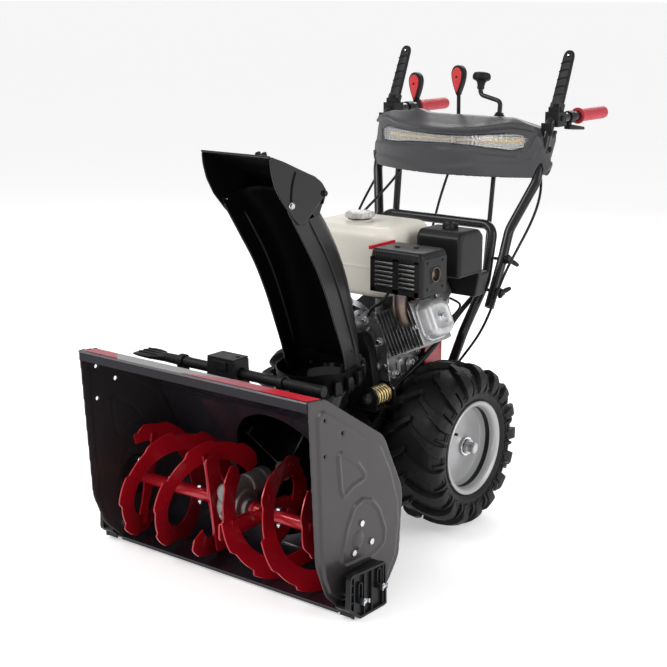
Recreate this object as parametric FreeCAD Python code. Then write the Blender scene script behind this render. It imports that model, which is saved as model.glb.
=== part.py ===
import FreeCAD, Part
import math
import os

from FreeCAD import Vector

# ---------------------------------------------------------------------------
# Driving dimensions, in millimetres.
# Design frame: Z = 0 is the ground, Y = 0 the wheel axle, X = 0 the middle.
# +Y points to the operator and +X to the operator's left.
# ---------------------------------------------------------------------------
ORIGIN_SHIFT_Y = 31.0        # moves the finished machine so its box is centred

# auger housing
PLATE_OUT_X = 337.0          # outer face of the side plates
PLATE_T = 3.0
SHELL_T = 2.5
SHELL_HALF_X = PLATE_OUT_X - PLATE_T
MOUNT_HOLE_R = 4.0
AUGER_Y = -550.0
AUGER_Z = 155.0
FLIGHT_R = 140.0
FLIGHT_IN_R = 98.0
FLIGHT_T = 4.0
FLIGHT_PITCH = 222.0
FLIGHT_X0 = 38.0             # ribbon end beside the gearbox
FLIGHT_X1 = 306.0
FLIGHT_STEPS = 20
LEFT_START = 112.0           # angle of the left ribbon's inner end, from the rear
RIGHT_START = 30.0
ARM_X = (80.0, 288.0)
TUBE_R = 15.0
AUGER_SHAFT_R = 10.0
RUN_GAP = 0.05               # radial clearance of a running fit

# impeller
IMP_Z = 192.0
DRUM_R = 152.0
DRUM_T = 3.0
DRUM_BACK_Y = -208.0
BLADE_R = 142.0
IMP_SHAFT_R = 9.5

# chute
RING_Y = -255.0
RING_Z = 388.0
RING_TILT = 12.0             # degrees the ring axis leans to the front
RING_R = 108.0
TOOTH_N = 30
NECK_R = 86.0
CHUTE_LEAN = 22.8            # degrees
CHUTE_HALF_X = 95.0
CHUTE_T = 2.5
HINGE_Y = -359.0
HINGE_Z = 854.0
WORM_X = 130.0
WORM_Y = -198.0
WORM_Z = 356.0
COIL_R = 20.5
COIL_WIRE_R = 2.5
COIL_LEN = 50.0

# wheels
TYRE_R = 203.0
RIM_FLANGE_R = 114.0
RIM_SEAT_R = 101.0
AXLE_Z = 203.0
AXLE_R = 10.0

# tractor frame
FRAME_HALF_X = 118.0
FRAME_T = 3.0
FRAME_Z0 = 110.0
FRAME_Z1 = 300.0
FRAME_FRONT_Y = -205.0
FRAME_MID_Y = -108.0
FRAME_REAR_Y = 125.0

# drive line
CRANK_Z = 437.0
CRANK_R = 12.5
PULLEY_Y0 = -133.0
PULLEY_MID_Y = -123.0
PULLEY_Y1 = -113.0
ENGINE_PULLEY_R = 34.0
IMP_PULLEY_R = 95.0
DISC_Z = 258.0
DISC_PULLEY_R = 46.0
DISC_PLATE_R = 34.0
PINION_R = 18.0
FRICTION_WHEEL_R = 34.0
HEX_Y = -49.6

# handles
TUBE25_R = 12.5
HANDLE_X = 211.0
FOLD_Y = 185.0
FOLD_Z = 556.0
CLAMP_Y = 219.0
CLAMP_Z = 632.0
GRIP_X = 254.0
GRIP_Z = 974.0
GRIP_R = 16.0

# dash
DASH_Z0 = 835.0
DASH_Z1 = 980.0
DASH_WALL = 4.0

os.makedirs("parts", exist_ok=True)
saved = []
PI = math.pi
X = Vector(1, 0, 0)
Y = Vector(0, 1, 0)
Z = Vector(0, 0, 1)


# ---------------------------------------------------------------------------
# Small helpers
# ---------------------------------------------------------------------------
def save(name, shape):
    """Shift a finished node to the stored frame and write it."""
    moved = shape.copy()
    moved.translate(Vector(0, ORIGIN_SHIFT_Y, 0))
    if not moved.isValid():
        print("NOT VALID", name)
    moved.exportStep("parts/" + name + ".step")
    saved.append(name)
    box = moved.BoundBox
    print("%-24s %2d solids  X %7.1f %7.1f  Y %7.1f %7.1f  Z %7.1f %7.1f" % (
        name, len(moved.Solids), box.XMin, box.XMax, box.YMin, box.YMax, box.ZMin, box.ZMax))


def box(x0, x1, y0, y1, z0, z1):
    return Part.makeBox(x1 - x0, y1 - y0, z1 - z0, Vector(x0, y0, z0))


def rod(a, b, r):
    """A round bar between two points."""
    a = Vector(*a)
    b = Vector(*b)
    along = b - a
    return Part.makeCylinder(r, along.Length, a, along)


def upright(solid):
    """A solid whose faces point outwards."""
    if solid.Volume < 0:
        solid.reverse()
    return solid


def fuse(shapes):
    shapes = list(shapes)
    whole = shapes[0]
    if len(shapes) > 1:
        whole = whole.multiFuse(shapes[1:])
    return whole.removeSplitter()


def cut(shape, tools):
    return shape.cut(Part.makeCompound(list(tools)))


def both_sides(shape):
    """The shape and its mirror image across X = 0."""
    return shape, shape.mirror(Vector(0, 0, 0), X)


def fillet_corner(before, corner, after, r):
    """Tangent points and mid point of an arc of radius r at a corner."""
    u = (before - corner).normalize()
    v = (after - corner).normalize()
    half = u.getAngle(v) / 2.0
    reach = r / math.tan(half)
    p = corner + u * reach
    q = corner + v * reach
    bisector = (u + v).normalize()
    centre = corner + bisector * (r / math.sin(half))
    mid = centre - bisector * r
    return p, mid, q


def path_edges(points, radii, closed=False):
    """Straight runs joined by tangent arcs."""
    points = [Vector(*p) for p in points]
    count = len(points)
    edges = []
    if closed:
        corners = range(count)
    else:
        corners = range(1, count - 1)
    arcs = {}
    for i in corners:
        r = radii[i] if isinstance(radii, (list, tuple)) else radii
        if r > 0:
            arcs[i] = fillet_corner(points[i - 1], points[i], points[(i + 1) % count], r)
    last = count if closed else count - 1
    for i in range(last):
        j = (i + 1) % count
        start = arcs[i][2] if i in arcs else points[i]
        end = arcs[j][0] if j in arcs else points[j]
        if (end - start).Length > 1e-4:
            edges.append(Part.LineSegment(start, end).toShape())
        if j in arcs and (closed or j < count - 1):
            p, mid, q = arcs[j]
            edges.append(Part.Arc(p, mid, q).toShape())
    return edges


def outline(points, radii, plane="YZ", at=0.0):
    """A closed rounded polygon. YZ outlines stand at X = at, and so on."""
    if plane == "YZ":
        full = [(at, a, b) for a, b in points]
    elif plane == "XZ":
        full = [(a, at, b) for a, b in points]
    else:
        full = [(a, b, at) for a, b in points]
    return Part.Wire(Part.__sortEdges__(path_edges(full, radii, closed=True)))


def slab(points, radii, plane, start, end):
    """A rounded polygon pushed from start to end along its normal."""
    wire = outline(points, radii, plane, start)
    normal = {"YZ": X, "XZ": Y, "XY": Z}[plane]
    return Part.Face(wire).extrude(normal * (end - start))


def offset_points(points, distance):
    """An open polyline moved sideways, with mitred corners."""
    moved = []
    count = len(points)
    for i in range(count):
        normals = []
        for a, b in ((i - 1, i), (i, i + 1)):
            if a < 0 or b >= count:
                continue
            dy = points[b][0] - points[a][0]
            dz = points[b][1] - points[a][1]
            length = math.hypot(dy, dz)
            normals.append((-dz / length, dy / length))
        ny = sum(n[0] for n in normals) / len(normals)
        nz = sum(n[1] for n in normals) / len(normals)
        scale = distance / (ny * ny + nz * nz)
        moved.append((points[i][0] + ny * scale, points[i][1] + nz * scale))
    return moved


def sheet(points, radii, thickness, x0, x1):
    """A bent sheet: a rounded polyline in YZ, thickened and pushed along X."""
    inner = offset_points(points, thickness)
    first = path_edges([(x0, a, b) for a, b in points], radii)
    second = path_edges([(x0, a, b) for a, b in inner], radii)
    caps = []
    for i in (0, -1):
        a = Vector(x0, *points[i])
        b = Vector(x0, *inner[i])
        caps.append(Part.LineSegment(a, b).toShape())
    wire = Part.Wire(Part.__sortEdges__(first + second + caps))
    return Part.Face(wire).extrude(X * (x1 - x0))


def tube(points, radii, r, bore=0.0):
    """A round tube or bar swept along straight runs and tangent arcs."""
    edges = path_edges(points, radii)
    spine = Part.Wire(edges)
    start = Vector(*points[0])
    along = Vector(*points[1]) - start
    ring = Part.Wire([Part.makeCircle(r, start, along)])
    solid = spine.makePipeShell([ring], True, False)
    if bore > 0:
        hole = Part.Wire([Part.makeCircle(bore, start, along)])
        solid = solid.cut(spine.makePipeShell([hole], True, False))
    return solid


def cable_radii(points):
    """Bend radii that use 0.45 of the shorter run at each corner."""
    pts = [Vector(*p) for p in points]
    radii = [0.0]
    for i in range(1, len(pts) - 1):
        u = pts[i - 1] - pts[i]
        v = pts[i + 1] - pts[i]
        turn = math.pi - u.getAngle(v)
        radii.append(0.45 * min(u.Length, v.Length) / math.tan(turn / 2.0))
    radii.append(0.0)
    return radii


def cable(name, points, r):
    radii = cable_radii(points)
    print("bend radii of", name, [round(v) for v in radii[1:-1]])
    return tube(points, radii, r)


def turned(points, origin, axis):
    """A closed half section of (radius, distance along the axis), turned full circle."""
    axis = Vector(*axis).normalize()
    side = axis.cross(Vector(0, 0, 1))
    if side.Length < 0.1:
        side = axis.cross(Vector(1, 0, 0))
    side.normalize()
    origin = Vector(*origin)
    corners = [origin + side * r + axis * h for r, h in points]
    wire = Part.makePolygon(corners + [corners[0]])
    return Part.Face(wire).revolve(origin, axis, 360)


def wing_nut(centre, direction):
    """A wing nut whose base is at centre, pointing along X."""
    s = 1.0 if direction > 0 else -1.0
    cx, cy, cz = centre
    hub = rod((cx, cy, cz), (cx + 8 * s, cy, cz), 6.5)
    wings = []
    for side in (-1, 1):
        wings.append(box(min(cx, cx + 14 * s), max(cx, cx + 14 * s),
                         cy - 1.5 + 9 * side, cy + 1.5 + 9 * side, cz - 5, cz + 5))
        wings.append(box(min(cx, cx + 6 * s), max(cx, cx + 6 * s),
                         min(cy, cy + 9 * side), max(cy, cy + 9 * side), cz - 4, cz + 4))
    return fuse([hub] + wings)


def bolt(head, tip, r, head_r, head_h):
    """A plain bolt: a six sided head at one end of a shank."""
    head = Vector(*head)
    tip = Vector(*tip)
    along = (tip - head).normalize()
    shank = Part.makeCylinder(r, (tip - head).Length, head, along)
    side = along.cross(Z)
    if side.Length < 0.1:
        side = X
    side.normalize()
    other = along.cross(side)
    corners = []
    for i in range(7):
        a = i * PI / 3
        corners.append(head + side * head_r * math.cos(a) + other * head_r * math.sin(a))
    cap = Part.Face(Part.makePolygon(corners)).extrude(along * -head_h)
    return fuse([shank, cap])


# ---------------------------------------------------------------------------
# Auger housing
# ---------------------------------------------------------------------------
SHELL_LINE = [(-711, 497), (-656, 490), (-453, 360), (-383, 222), (-396, 70), (-440, 14), (-606, 10)]
SHELL_RADII = [0, 6, 60, 100, 60, 45, 0]
PLATE_LINE = [(-711, 499), (-655, 492), (-452, 364), (-379, 222), (-391, 68), (-437, 10), (-600, 10),
              (-655, 60), (-688, 140)]
PLATE_RADII = [3, 10, 60, 100, 60, 45, 20, 60, 90]
HOLES = [(-660, 448), (-601, 407), (-660, 371)]
BEARING_BOLTS = [(-538, 190), (-503, 138), (-565, 131)]
SKID_BOLTS = [(-588, 42), (-522, 53)]
OPENING_R = DRUM_R - DRUM_T


def housing_shell():
    shell = sheet(SHELL_LINE, SHELL_RADII, -SHELL_T, -SHELL_HALF_X, SHELL_HALF_X)
    lip = box(-SHELL_HALF_X, SHELL_HALF_X, -711, -708.5, 474, 497)
    hole = rod((0, -520, IMP_Z), (0, -300, IMP_Z), OPENING_R)
    return fuse([shell, lip]).cut(hole)


def side_plate():
    plate = slab(PLATE_LINE, PLATE_RADII, "YZ", SHELL_HALF_X, PLATE_OUT_X)
    border = [(-694, 470), (-668, 476), (-480, 356), (-405, 222), (-412, 120), (-404, 118),
              (-395, 222), (-470, 366), (-664, 487), (-703, 480), (-676, 160), (-668, 160)]
    raised = [slab(border, 3, "YZ", PLATE_OUT_X, PLATE_OUT_X + 2)]
    upper = [(-622, 360), (-548, 318), (-508, 246), (-534, 226), (-640, 330)]
    lower = [(-560, 226), (-520, 218), (-470, 132), (-490, 92), (-600, 84), (-606, 140)]
    raised.append(slab(upper, 18, "YZ", PLATE_OUT_X, PLATE_OUT_X + 2))
    raised.append(slab(lower, 22, "YZ", PLATE_OUT_X, PLATE_OUT_X + 2))
    tools = []
    for y, z in HOLES:
        tools.append(rod((300, y, z), (345, y, z), MOUNT_HOLE_R))
    for y, z in BEARING_BOLTS:
        tools.append(rod((300, y, z), (345, y, z), 4.0))
    for y, z in SKID_BOLTS:
        tools.append(rod((300, y, z), (345, y, z), 4.0))
    tools.append(rod((300, AUGER_Y, AUGER_Z), (345, AUGER_Y, AUGER_Z), 16.0))
    return cut(fuse([plate] + raised), tools)


def auger_bearing():
    """A flanged bush inside the side plate that carries the auger shaft."""
    flange = rod((SHELL_HALF_X - 4, AUGER_Y, AUGER_Z), (SHELL_HALF_X, AUGER_Y, AUGER_Z), 48)
    neck = rod((SHELL_HALF_X - 4, AUGER_Y, AUGER_Z), (PLATE_OUT_X + 1, AUGER_Y, AUGER_Z), 15.9)
    tools = [rod((300, AUGER_Y, AUGER_Z), (345, AUGER_Y, AUGER_Z), AUGER_SHAFT_R + RUN_GAP)]
    for y, z in BEARING_BOLTS:
        tools.append(rod((300, y, z), (345, y, z), 4.0))
    return cut(fuse([flange, neck]), tools)


def bearing_bolts():
    found = []
    for y, z in BEARING_BOLTS:
        found.append(bolt((PLATE_OUT_X + 2, y, z), (SHELL_HALF_X - 14, y, z), 3.9, 7.5, 5.5))
    return found


def skid_bolts():
    found = []
    for y, z in SKID_BOLTS:
        shank = rod((PLATE_OUT_X - 3, y, z), (392, y, z), 3.9)
        head = rod((SHELL_HALF_X - 4, y, z), (SHELL_HALF_X, y, z), 9)
        found.append(fuse([shank, head, wing_nut((381.0, y, z), 1)]))
    return found


def scraper_bar():
    return box(-330, 330, -606, -530, 5, 9.9)


SHOE_LINE = [(-626, 108), (-498, 101), (-496, 2), (-506, 0), (-592, 0), (-630, 30)]


def skid_shoe():
    """Outer wall with two upright slots, a wide sole and cross ribs."""
    wall = slab(SHOE_LINE, [10, 8, 4, 6, 12, 20], "YZ", 370, 380)
    sole = slab([(-628, 30), (-592, 0), (-496, 0), (-496, 9), (-590, 9), (-622, 36)],
                1, "YZ", 339.6, 370)
    ribs = [box(341, 370, y, y + 4, 8, 34) for y in (-612, -570, -548, -500)]
    ribs.append(box(341, 370, -600, -498, 90, 96))
    whole = fuse([wall, sole] + ribs)
    slots = []
    for y, z in SKID_BOLTS:
        slots.append(slab([(y - 4.6, z - 4.6), (y + 4.6, z - 4.6), (y + 4.6, z + 36), (y - 4.6, z + 36)],
                          4.5, "YZ", 335, 385))
    return cut(whole, slots)


# ---------------------------------------------------------------------------
# Auger, gearbox and impeller
# ---------------------------------------------------------------------------
GEAR_HALF_X = 30.0


def helix_band(start_deg):
    """A flat band wound round the auger axis, from the gearbox end outwards."""
    pieces = []
    sections = []
    for i in range(FLIGHT_STEPS + 1):
        x = FLIGHT_X0 + (FLIGHT_X1 - FLIGHT_X0) * i / FLIGHT_STEPS
        angle = math.radians(start_deg + (x - FLIGHT_X0) * 360.0 / FLIGHT_PITCH)
        c = math.cos(angle)
        s = math.sin(angle)
        corners = []
        for r, dx in ((FLIGHT_IN_R, -1), (FLIGHT_R, -1), (FLIGHT_R, 1), (FLIGHT_IN_R, 1)):
            corners.append(Vector(x + dx * FLIGHT_T / 2, AUGER_Y + r * c, AUGER_Z + r * s))
        sections.append(Part.makePolygon(corners + [corners[0]]))
    for a, b in zip(sections, sections[1:]):
        pieces.append(upright(Part.makeLoft([a, b], True, True)))
    return fuse(pieces)


def arm(x, angle_deg, reach):
    """A flat radial arm from the tube to a ribbon."""
    bar = box(x - 2.5, x + 2.5, AUGER_Y + TUBE_R - 3, AUGER_Y + reach, AUGER_Z - 14, AUGER_Z + 14)
    bar.rotate(Vector(0, AUGER_Y, AUGER_Z), X, angle_deg)
    return bar


def auger(side):
    """Tube, two ribbons, arms and the inner paddle of one side."""
    start = LEFT_START if side > 0 else RIGHT_START
    shaft_hole = rod((30, AUGER_Y, AUGER_Z), (330, AUGER_Y, AUGER_Z), AUGER_SHAFT_R)
    pieces = [rod((44, AUGER_Y, AUGER_Z), (322, AUGER_Y, AUGER_Z), TUBE_R)]
    for half_turn in (0.0, 180.0):
        pieces.append(helix_band(start + half_turn))
        for x in ARM_X:
            angle = start + half_turn + (x - FLIGHT_X0) * 360.0 / FLIGHT_PITCH
            pieces.append(arm(x, angle, FLIGHT_IN_R + 8))
    paddle = slab([(AUGER_Y - 40, AUGER_Z - 118), (AUGER_Y + 2, AUGER_Z - 118), (AUGER_Y + 2, AUGER_Z + 118),
                   (AUGER_Y - 40, AUGER_Z + 118)], 10, "YZ", 46, 51)
    paddle.rotate(Vector(0, AUGER_Y, AUGER_Z), X, start - 22)
    pieces.append(paddle)
    whole = fuse(pieces)
    tools = [shaft_hole]
    for x in SHEAR_X:
        tools.append(rod((x, AUGER_Y, AUGER_Z - 30), (x, AUGER_Y, AUGER_Z + 30), 3.05))
    whole = cut(whole, tools)
    if side < 0:
        whole = whole.mirror(Vector(0, 0, 0), X)
    return whole


SHEAR_X = (120.0, 215.0)


def auger_shaft():
    shaft = rod((-341, AUGER_Y, AUGER_Z), (341, AUGER_Y, AUGER_Z), AUGER_SHAFT_R)
    tools = []
    for x in SHEAR_X:
        for s in (-1, 1):
            tools.append(rod((s * x, AUGER_Y, AUGER_Z - 30), (s * x, AUGER_Y, AUGER_Z + 30), 3.05))
    return cut(shaft, tools)


def shear_bolts():
    found = []
    for x in SHEAR_X:
        for s in (-1, 1):
            found.append(bolt((s * x, AUGER_Y, AUGER_Z + TUBE_R + 1), (s * x, AUGER_Y, AUGER_Z - TUBE_R - 8),
                              3.0, 6.5, 5))
    return found


WORM_OFFSET = IMP_Z - AUGER_Z
WHEEL_R = 24.5
WORM_R = WORM_OFFSET - WHEEL_R - 0.6


def gearbox_case():
    """Cast case round the worm wheel, with a nose for the impeller shaft."""
    ax = (AUGER_Y, AUGER_Z)
    barrel = rod((-GEAR_HALF_X, *ax), (GEAR_HALF_X, *ax), 42)
    bosses = rod((-40, *ax), (40, *ax), 24)
    nose = rod((0, -596, IMP_Z), (0, -462, IMP_Z), 25)
    collar = rod((0, -480, IMP_Z), (0, -458, IMP_Z), 31)
    whole = fuse([barrel, bosses, nose, collar])
    tools = [rod((-23, *ax), (23, *ax), 35),
             rod((0, -588, IMP_Z), (0, -475, IMP_Z), 17),
             rod((-50, *ax), (50, *ax), AUGER_SHAFT_R + RUN_GAP),
             rod((0, -480, IMP_Z), (0, -450, IMP_Z), IMP_SHAFT_R + RUN_GAP)]
    return cut(whole, tools)


def worm_wheel():
    wheel = rod((-8, AUGER_Y, AUGER_Z), (8, AUGER_Y, AUGER_Z), WHEEL_R)
    hub = rod((-18, AUGER_Y, AUGER_Z), (18, AUGER_Y, AUGER_Z), 16)
    bore = rod((-30, AUGER_Y, AUGER_Z), (30, AUGER_Y, AUGER_Z), AUGER_SHAFT_R)
    return cut(fuse([wheel, hub]), [bore])


def impeller_shaft():
    shaft = rod((0, -470, IMP_Z), (0, -112, IMP_Z), IMP_SHAFT_R)
    worm = rod((0, -580, IMP_Z), (0, -520, IMP_Z), WORM_R)
    link = rod((0, -525, IMP_Z), (0, -465, IMP_Z), IMP_SHAFT_R)
    return fuse([shaft, worm, link])


def impeller():
    """Four swept blades on a hub with a back web each."""
    hub = rod((0, -392, IMP_Z), (0, -225, IMP_Z), 24)
    pieces = [hub]
    for k in range(4):
        blade = box(-2, 2, -385, -232, IMP_Z + 20, IMP_Z + BLADE_R)
        tip = box(-2, 26, -385, -232, IMP_Z + BLADE_R - 12, IMP_Z + BLADE_R - 8)
        web = Part.Face(Part.makePolygon([Vector(0, -232, IMP_Z + 20), Vector(60, -232, IMP_Z + 20),
                                          Vector(0, -232, IMP_Z + 110), Vector(0, -232, IMP_Z + 20)]))
        gusset = web.extrude(Y * -3)
        piece = fuse([blade, tip, gusset])
        piece.rotate(Vector(0, 0, IMP_Z), Y, 90 * k + 30)
        pieces.append(piece)
    bore = rod((0, -500, IMP_Z), (0, -200, IMP_Z), IMP_SHAFT_R)
    return cut(fuse(pieces), [bore])


def ring_axis():
    t = math.radians(RING_TILT)
    return Vector(0, -math.sin(t), math.cos(t))


def ring_point(height):
    return Vector(0, RING_Y, RING_Z) + ring_axis() * height


def ring_disc(h0, h1, r):
    """A disc square to the ring axis between two heights."""
    return Part.makeCylinder(r, h1 - h0, ring_point(h0), ring_axis())


def neck_loft(r):
    low = Part.Wire([Part.makeCircle(r - 3, Vector(0, -298, 290), Z)])
    high = Part.Wire([Part.makeCircle(r, ring_point(-8), ring_axis())])
    throat = upright(Part.makeLoft([low, high], True, True))
    return fuse([throat, ring_disc(-8.0, 1.5, r)])


def impeller_drum():
    """Drum behind the auger housing, with the neck that carries the chute."""
    outer = rod((0, -470, IMP_Z), (0, DRUM_BACK_Y, IMP_Z), DRUM_R)
    flange = ring_disc(-8.0, -5.0, RING_R - 6)
    body = fuse([outer, neck_loft(NECK_R), flange])
    front_line = [(-900, 700)] + [(a, b) for a, b in SHELL_LINE[1:]] + [(-900, 10)]
    front = slab(front_line, [0] + SHELL_RADII[1:-1] + [0, 0], "YZ", -300, 300)
    tools = [rod((0, -480, IMP_Z), (0, DRUM_BACK_Y - DRUM_T, IMP_Z), DRUM_R - DRUM_T),
             neck_loft(NECK_R - 3), ring_disc(0, 12, NECK_R - 3), front,
             rod((0, -480, IMP_Z), (0, -190, IMP_Z), 14.0)]
    return cut(body, tools)


def drum_bearing():
    """Bearing of the impeller shaft in the back of the drum."""
    hub = rod((0, DRUM_BACK_Y - DRUM_T, IMP_Z), (0, DRUM_BACK_Y + 12, IMP_Z), 13.9)
    plate = rod((0, DRUM_BACK_Y, IMP_Z), (0, DRUM_BACK_Y + 4, IMP_Z), 30)
    return cut(fuse([hub, plate]), [rod((0, -300, IMP_Z), (0, -100, IMP_Z), IMP_SHAFT_R + RUN_GAP)])


# ---------------------------------------------------------------------------
# Chute
# ---------------------------------------------------------------------------
def lean_axis():
    t = math.radians(CHUTE_LEAN)
    return Vector(0, -math.sin(t), math.cos(t))


def lean_depth():
    t = math.radians(CHUTE_LEAN)
    return Vector(0, math.cos(t), math.sin(t))


def chute_point(u, v, w):
    return Vector(0, RING_Y, RING_Z) + X * u + lean_depth() * v + lean_axis() * w


def chute_ring():
    """Toothed collar that turns on the neck and carries the chute."""
    disc = ring_disc(-4.0, 2.0, RING_R)
    collar = ring_disc(0.0, 42.0, 100.0)
    teeth = []
    for i in range(TOOTH_N):
        tooth = Part.makeBox(12.0, 9.0, 20.0, Vector(RING_R - 4.0, -4.5, -8.0))
        tooth.rotate(Vector(0, 0, 0), Z, (i + 0.5) * 360.0 / TOOTH_N)
        tooth.rotate(Vector(0, 0, 0), X, RING_TILT)
        tooth.translate(Vector(0, RING_Y, RING_Z))
        teeth.append(tooth)
    whole = fuse([disc, collar] + teeth)
    front_cut = Part.makeBox(260, 260, 200, Vector(-130, -30, 14.0))
    front_cut.rotate(Vector(0, 0, 0), X, RING_TILT - 34)
    front_cut.translate(Vector(0, RING_Y, RING_Z))
    return cut(whole, [ring_disc(2.0, 60, 97.0), ring_disc(-20, 10, NECK_R + 0.6), front_cut])


def channel_wire(w, depth, inset):
    """A U shaped section, open to the front, at height w."""
    half = CHUTE_HALF_X - inset
    back = depth - inset
    r = 46.0 - inset
    k = r * (1 - math.sqrt(0.5))
    pts = [chute_point(-half, -9, w), chute_point(-half, back - r, w), chute_point(-half + k, back - k, w),
           chute_point(-half + r, back, w), chute_point(half - r, back, w), chute_point(half - k, back - k, w),
           chute_point(half, back - r, w), chute_point(half, -9, w)]
    return Part.Wire([Part.LineSegment(pts[0], pts[1]).toShape(), Part.Arc(pts[1], pts[2], pts[3]).toShape(),
                      Part.LineSegment(pts[3], pts[4]).toShape(), Part.Arc(pts[4], pts[5], pts[6]).toShape(),
                      Part.LineSegment(pts[6], pts[7]).toShape(), Part.LineSegment(pts[7], pts[0]).toShape()])


CHUTE_DEPTHS = ((-26.0, 72.0), (150.0, 92.0), (310.0, 104.0), (400.0, 98.0), (478.0, 84.0))


def chute():
    outer = upright(Part.makeLoft([channel_wire(w, d, 0.0) for w, d in CHUTE_DEPTHS], True, False))
    inner = upright(Part.makeLoft([channel_wire(w, d, CHUTE_T) for w, d in CHUTE_DEPTHS], True, False))
    front = Part.makeBox(2 * CHUTE_HALF_X - 2 * CHUTE_T, 30, 560, Vector(-CHUTE_HALF_X + CHUTE_T, -30, -50))
    front.rotate(Vector(0, 0, 0), X, CHUTE_LEAN)
    front.translate(Vector(0, RING_Y, RING_Z))
    below = ring_disc(-120, 2.0, 260)
    top_front = slab([(-640, 760), (-400, 760), (-418, 800), (-372, 857), (-640, 900)], 0, "YZ", -150, 150)
    top_back = slab([(-376, 834), (-300, 806), (-300, 900), (-376, 900)], 0, "YZ", -91, 91)
    pin = rod((-120, HINGE_Y, HINGE_Z), (120, HINGE_Y, HINGE_Z), 3.05)
    bolts = rod((-120, -473, 839), (120, -473, 839), 3.05)
    collar = ring_disc(-5, 60, 97.0).cut(ring_disc(-6, 61, 94.5))
    foot = collar.common(outer)
    ear_line = [(-486, 832), (-478, 822), (-400, 800), (-350, 840), (-350, 862), (-372, 862)]
    ear = slab(ear_line, 3, "YZ", CHUTE_HALF_X - CHUTE_T, CHUTE_HALF_X)
    ear = ear.common(box(80, 100, -490, -350, 825, 862))
    trough = cut(outer, [inner, front, top_front, top_back])
    whole = fuse([trough, foot, *both_sides(chute_rib()), *both_sides(ear)])
    behind_line = [(-357.6, 838), (-300, 806), (-300, 900), (-363, 900), (-363, 862.8), (-357.6, 857.4)]
    behind = slab(behind_line, 0, "YZ", -150, 150)
    return cut(whole, [below, pin, bolts, behind])


def chute_rib():
    """The long pressed rib on the side of the chute."""
    a = chute_point(CHUTE_HALF_X - 1, 28, 60)
    b = chute_point(CHUTE_HALF_X - 1, 44, 400)
    bar = Part.makeCylinder(3.2, (b - a).Length, a, b - a)
    return bar.cut(box(60, CHUTE_HALF_X - CHUTE_T / 2, -700, 0, 200, 900))


DEFLECTOR_LINE = [(-540, 952), (-380, 892), (-352, 866), (-350, 846), (-366, 842), (-430, 790), (-455, 806),
                  (-500, 850), (-533, 905)]
DEFLECTOR_RADII = [6, 30, 10, 6, 6, 12, 20, 60, 30]
DEFLECTOR_OUT_X = 99.0


def deflector():
    """Hood with a roof and two cheeks, hinged at the top of the chute."""
    outer = slab(DEFLECTOR_LINE, DEFLECTOR_RADII, "YZ", -DEFLECTOR_OUT_X, DEFLECTOR_OUT_X)
    inside = [(-570, 958), (-382, 888.5), (-356, 862), (-352, 820), (-480, 700), (-700, 800)]
    inner = slab(inside, [0, 28, 8, 0, 0, 0], "YZ", -DEFLECTOR_OUT_X + CHUTE_T, DEFLECTOR_OUT_X - CHUTE_T)
    slots = []
    arc_r = 115.0
    for s in (-1, 1):
        steps = 36
        for i in range(steps + 1):
            a = math.radians(187.5 - i * 36.0 / steps)
            y = HINGE_Y + arc_r * math.cos(a)
            z = HINGE_Z + arc_r * math.sin(a)
            slots.append(rod((s * 90, y, z), (s * 104, y, z), 4.2))
    pin = rod((-120, HINGE_Y, HINGE_Z), (120, HINGE_Y, HINGE_Z), 3.05)
    return cut(outer, [inner, pin, fuse(slots)])


def hinge_bolts():
    """The two hinge pins and the two slot bolts of the deflector."""
    found = []
    for s in (-1, 1):
        found.append(bolt((s * (DEFLECTOR_OUT_X + 1), HINGE_Y, HINGE_Z), (s * 84, HINGE_Y, HINGE_Z), 3.0, 6.5, 4))
        found.append(bolt((s * (DEFLECTOR_OUT_X + 1), -473, 839), (s * 84, -473, 839), 3.0, 6.5, 4))
    return found


def worm_coil():
    """The open wire coil that turns the chute ring, on its short shaft."""
    coil = Part.makeHelix(COIL_LEN / 5, COIL_LEN, COIL_R)
    start = Vector(COIL_R, 0, 0)
    ring = Part.Wire([Part.makeCircle(COIL_WIRE_R, start, Vector(0, 1, 0))])
    wire = upright(Part.Wire(coil.Edges).makePipeShell([ring], True, True))
    wire.rotate(Vector(0, 0, 0), X, -90)
    wire.translate(Vector(WORM_X, WORM_Y - COIL_LEN / 2, WORM_Z))
    shaft = rod((WORM_X, WORM_Y - 38, WORM_Z), (WORM_X, WORM_Y + 52, WORM_Z), 7.0)
    ends = []
    for y, dy in ((WORM_Y - 27, 3.5), (WORM_Y + 23.5, 3.5)):
        ends.append(rod((WORM_X, y, WORM_Z), (WORM_X, y + dy, WORM_Z), COIL_R + 4.0))
    sleeve = rod((WORM_X, WORM_Y + 39, WORM_Z), (WORM_X, WORM_Y + 58, WORM_Z), 10.5)
    whole = wire
    for piece in ends + [shaft, sleeve]:
        whole = whole.fuse(piece)
    return whole


BRACKET_YS = (WORM_Y - 35, WORM_Y + 33)


def worm_bracket():
    """Two upright ears on a foot beside the neck."""
    foot = box(70, 154, WORM_Y - 42, WORM_Y + 36, 328, 331)
    pieces = [foot]
    for y in BRACKET_YS:
        ear = slab([(108, 328), (154, 328), (154, 366), (140, 384), (118, 384), (108, 372)], [0, 0, 8, 8, 8, 8],
                   "XZ", y, y + 3)
        pieces.append(ear)
    drum = rod((0, -470, IMP_Z), (0, DRUM_BACK_Y, IMP_Z), DRUM_R)
    hole = rod((WORM_X, -260, WORM_Z), (WORM_X, -100, WORM_Z), 7.0 + RUN_GAP)
    return cut(fuse(pieces), [drum, hole, neck_loft(NECK_R)])


# ---------------------------------------------------------------------------
# Clean out tool
# ---------------------------------------------------------------------------
TOOL_Y = -533.0
TOOL_Z = 460.0


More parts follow.
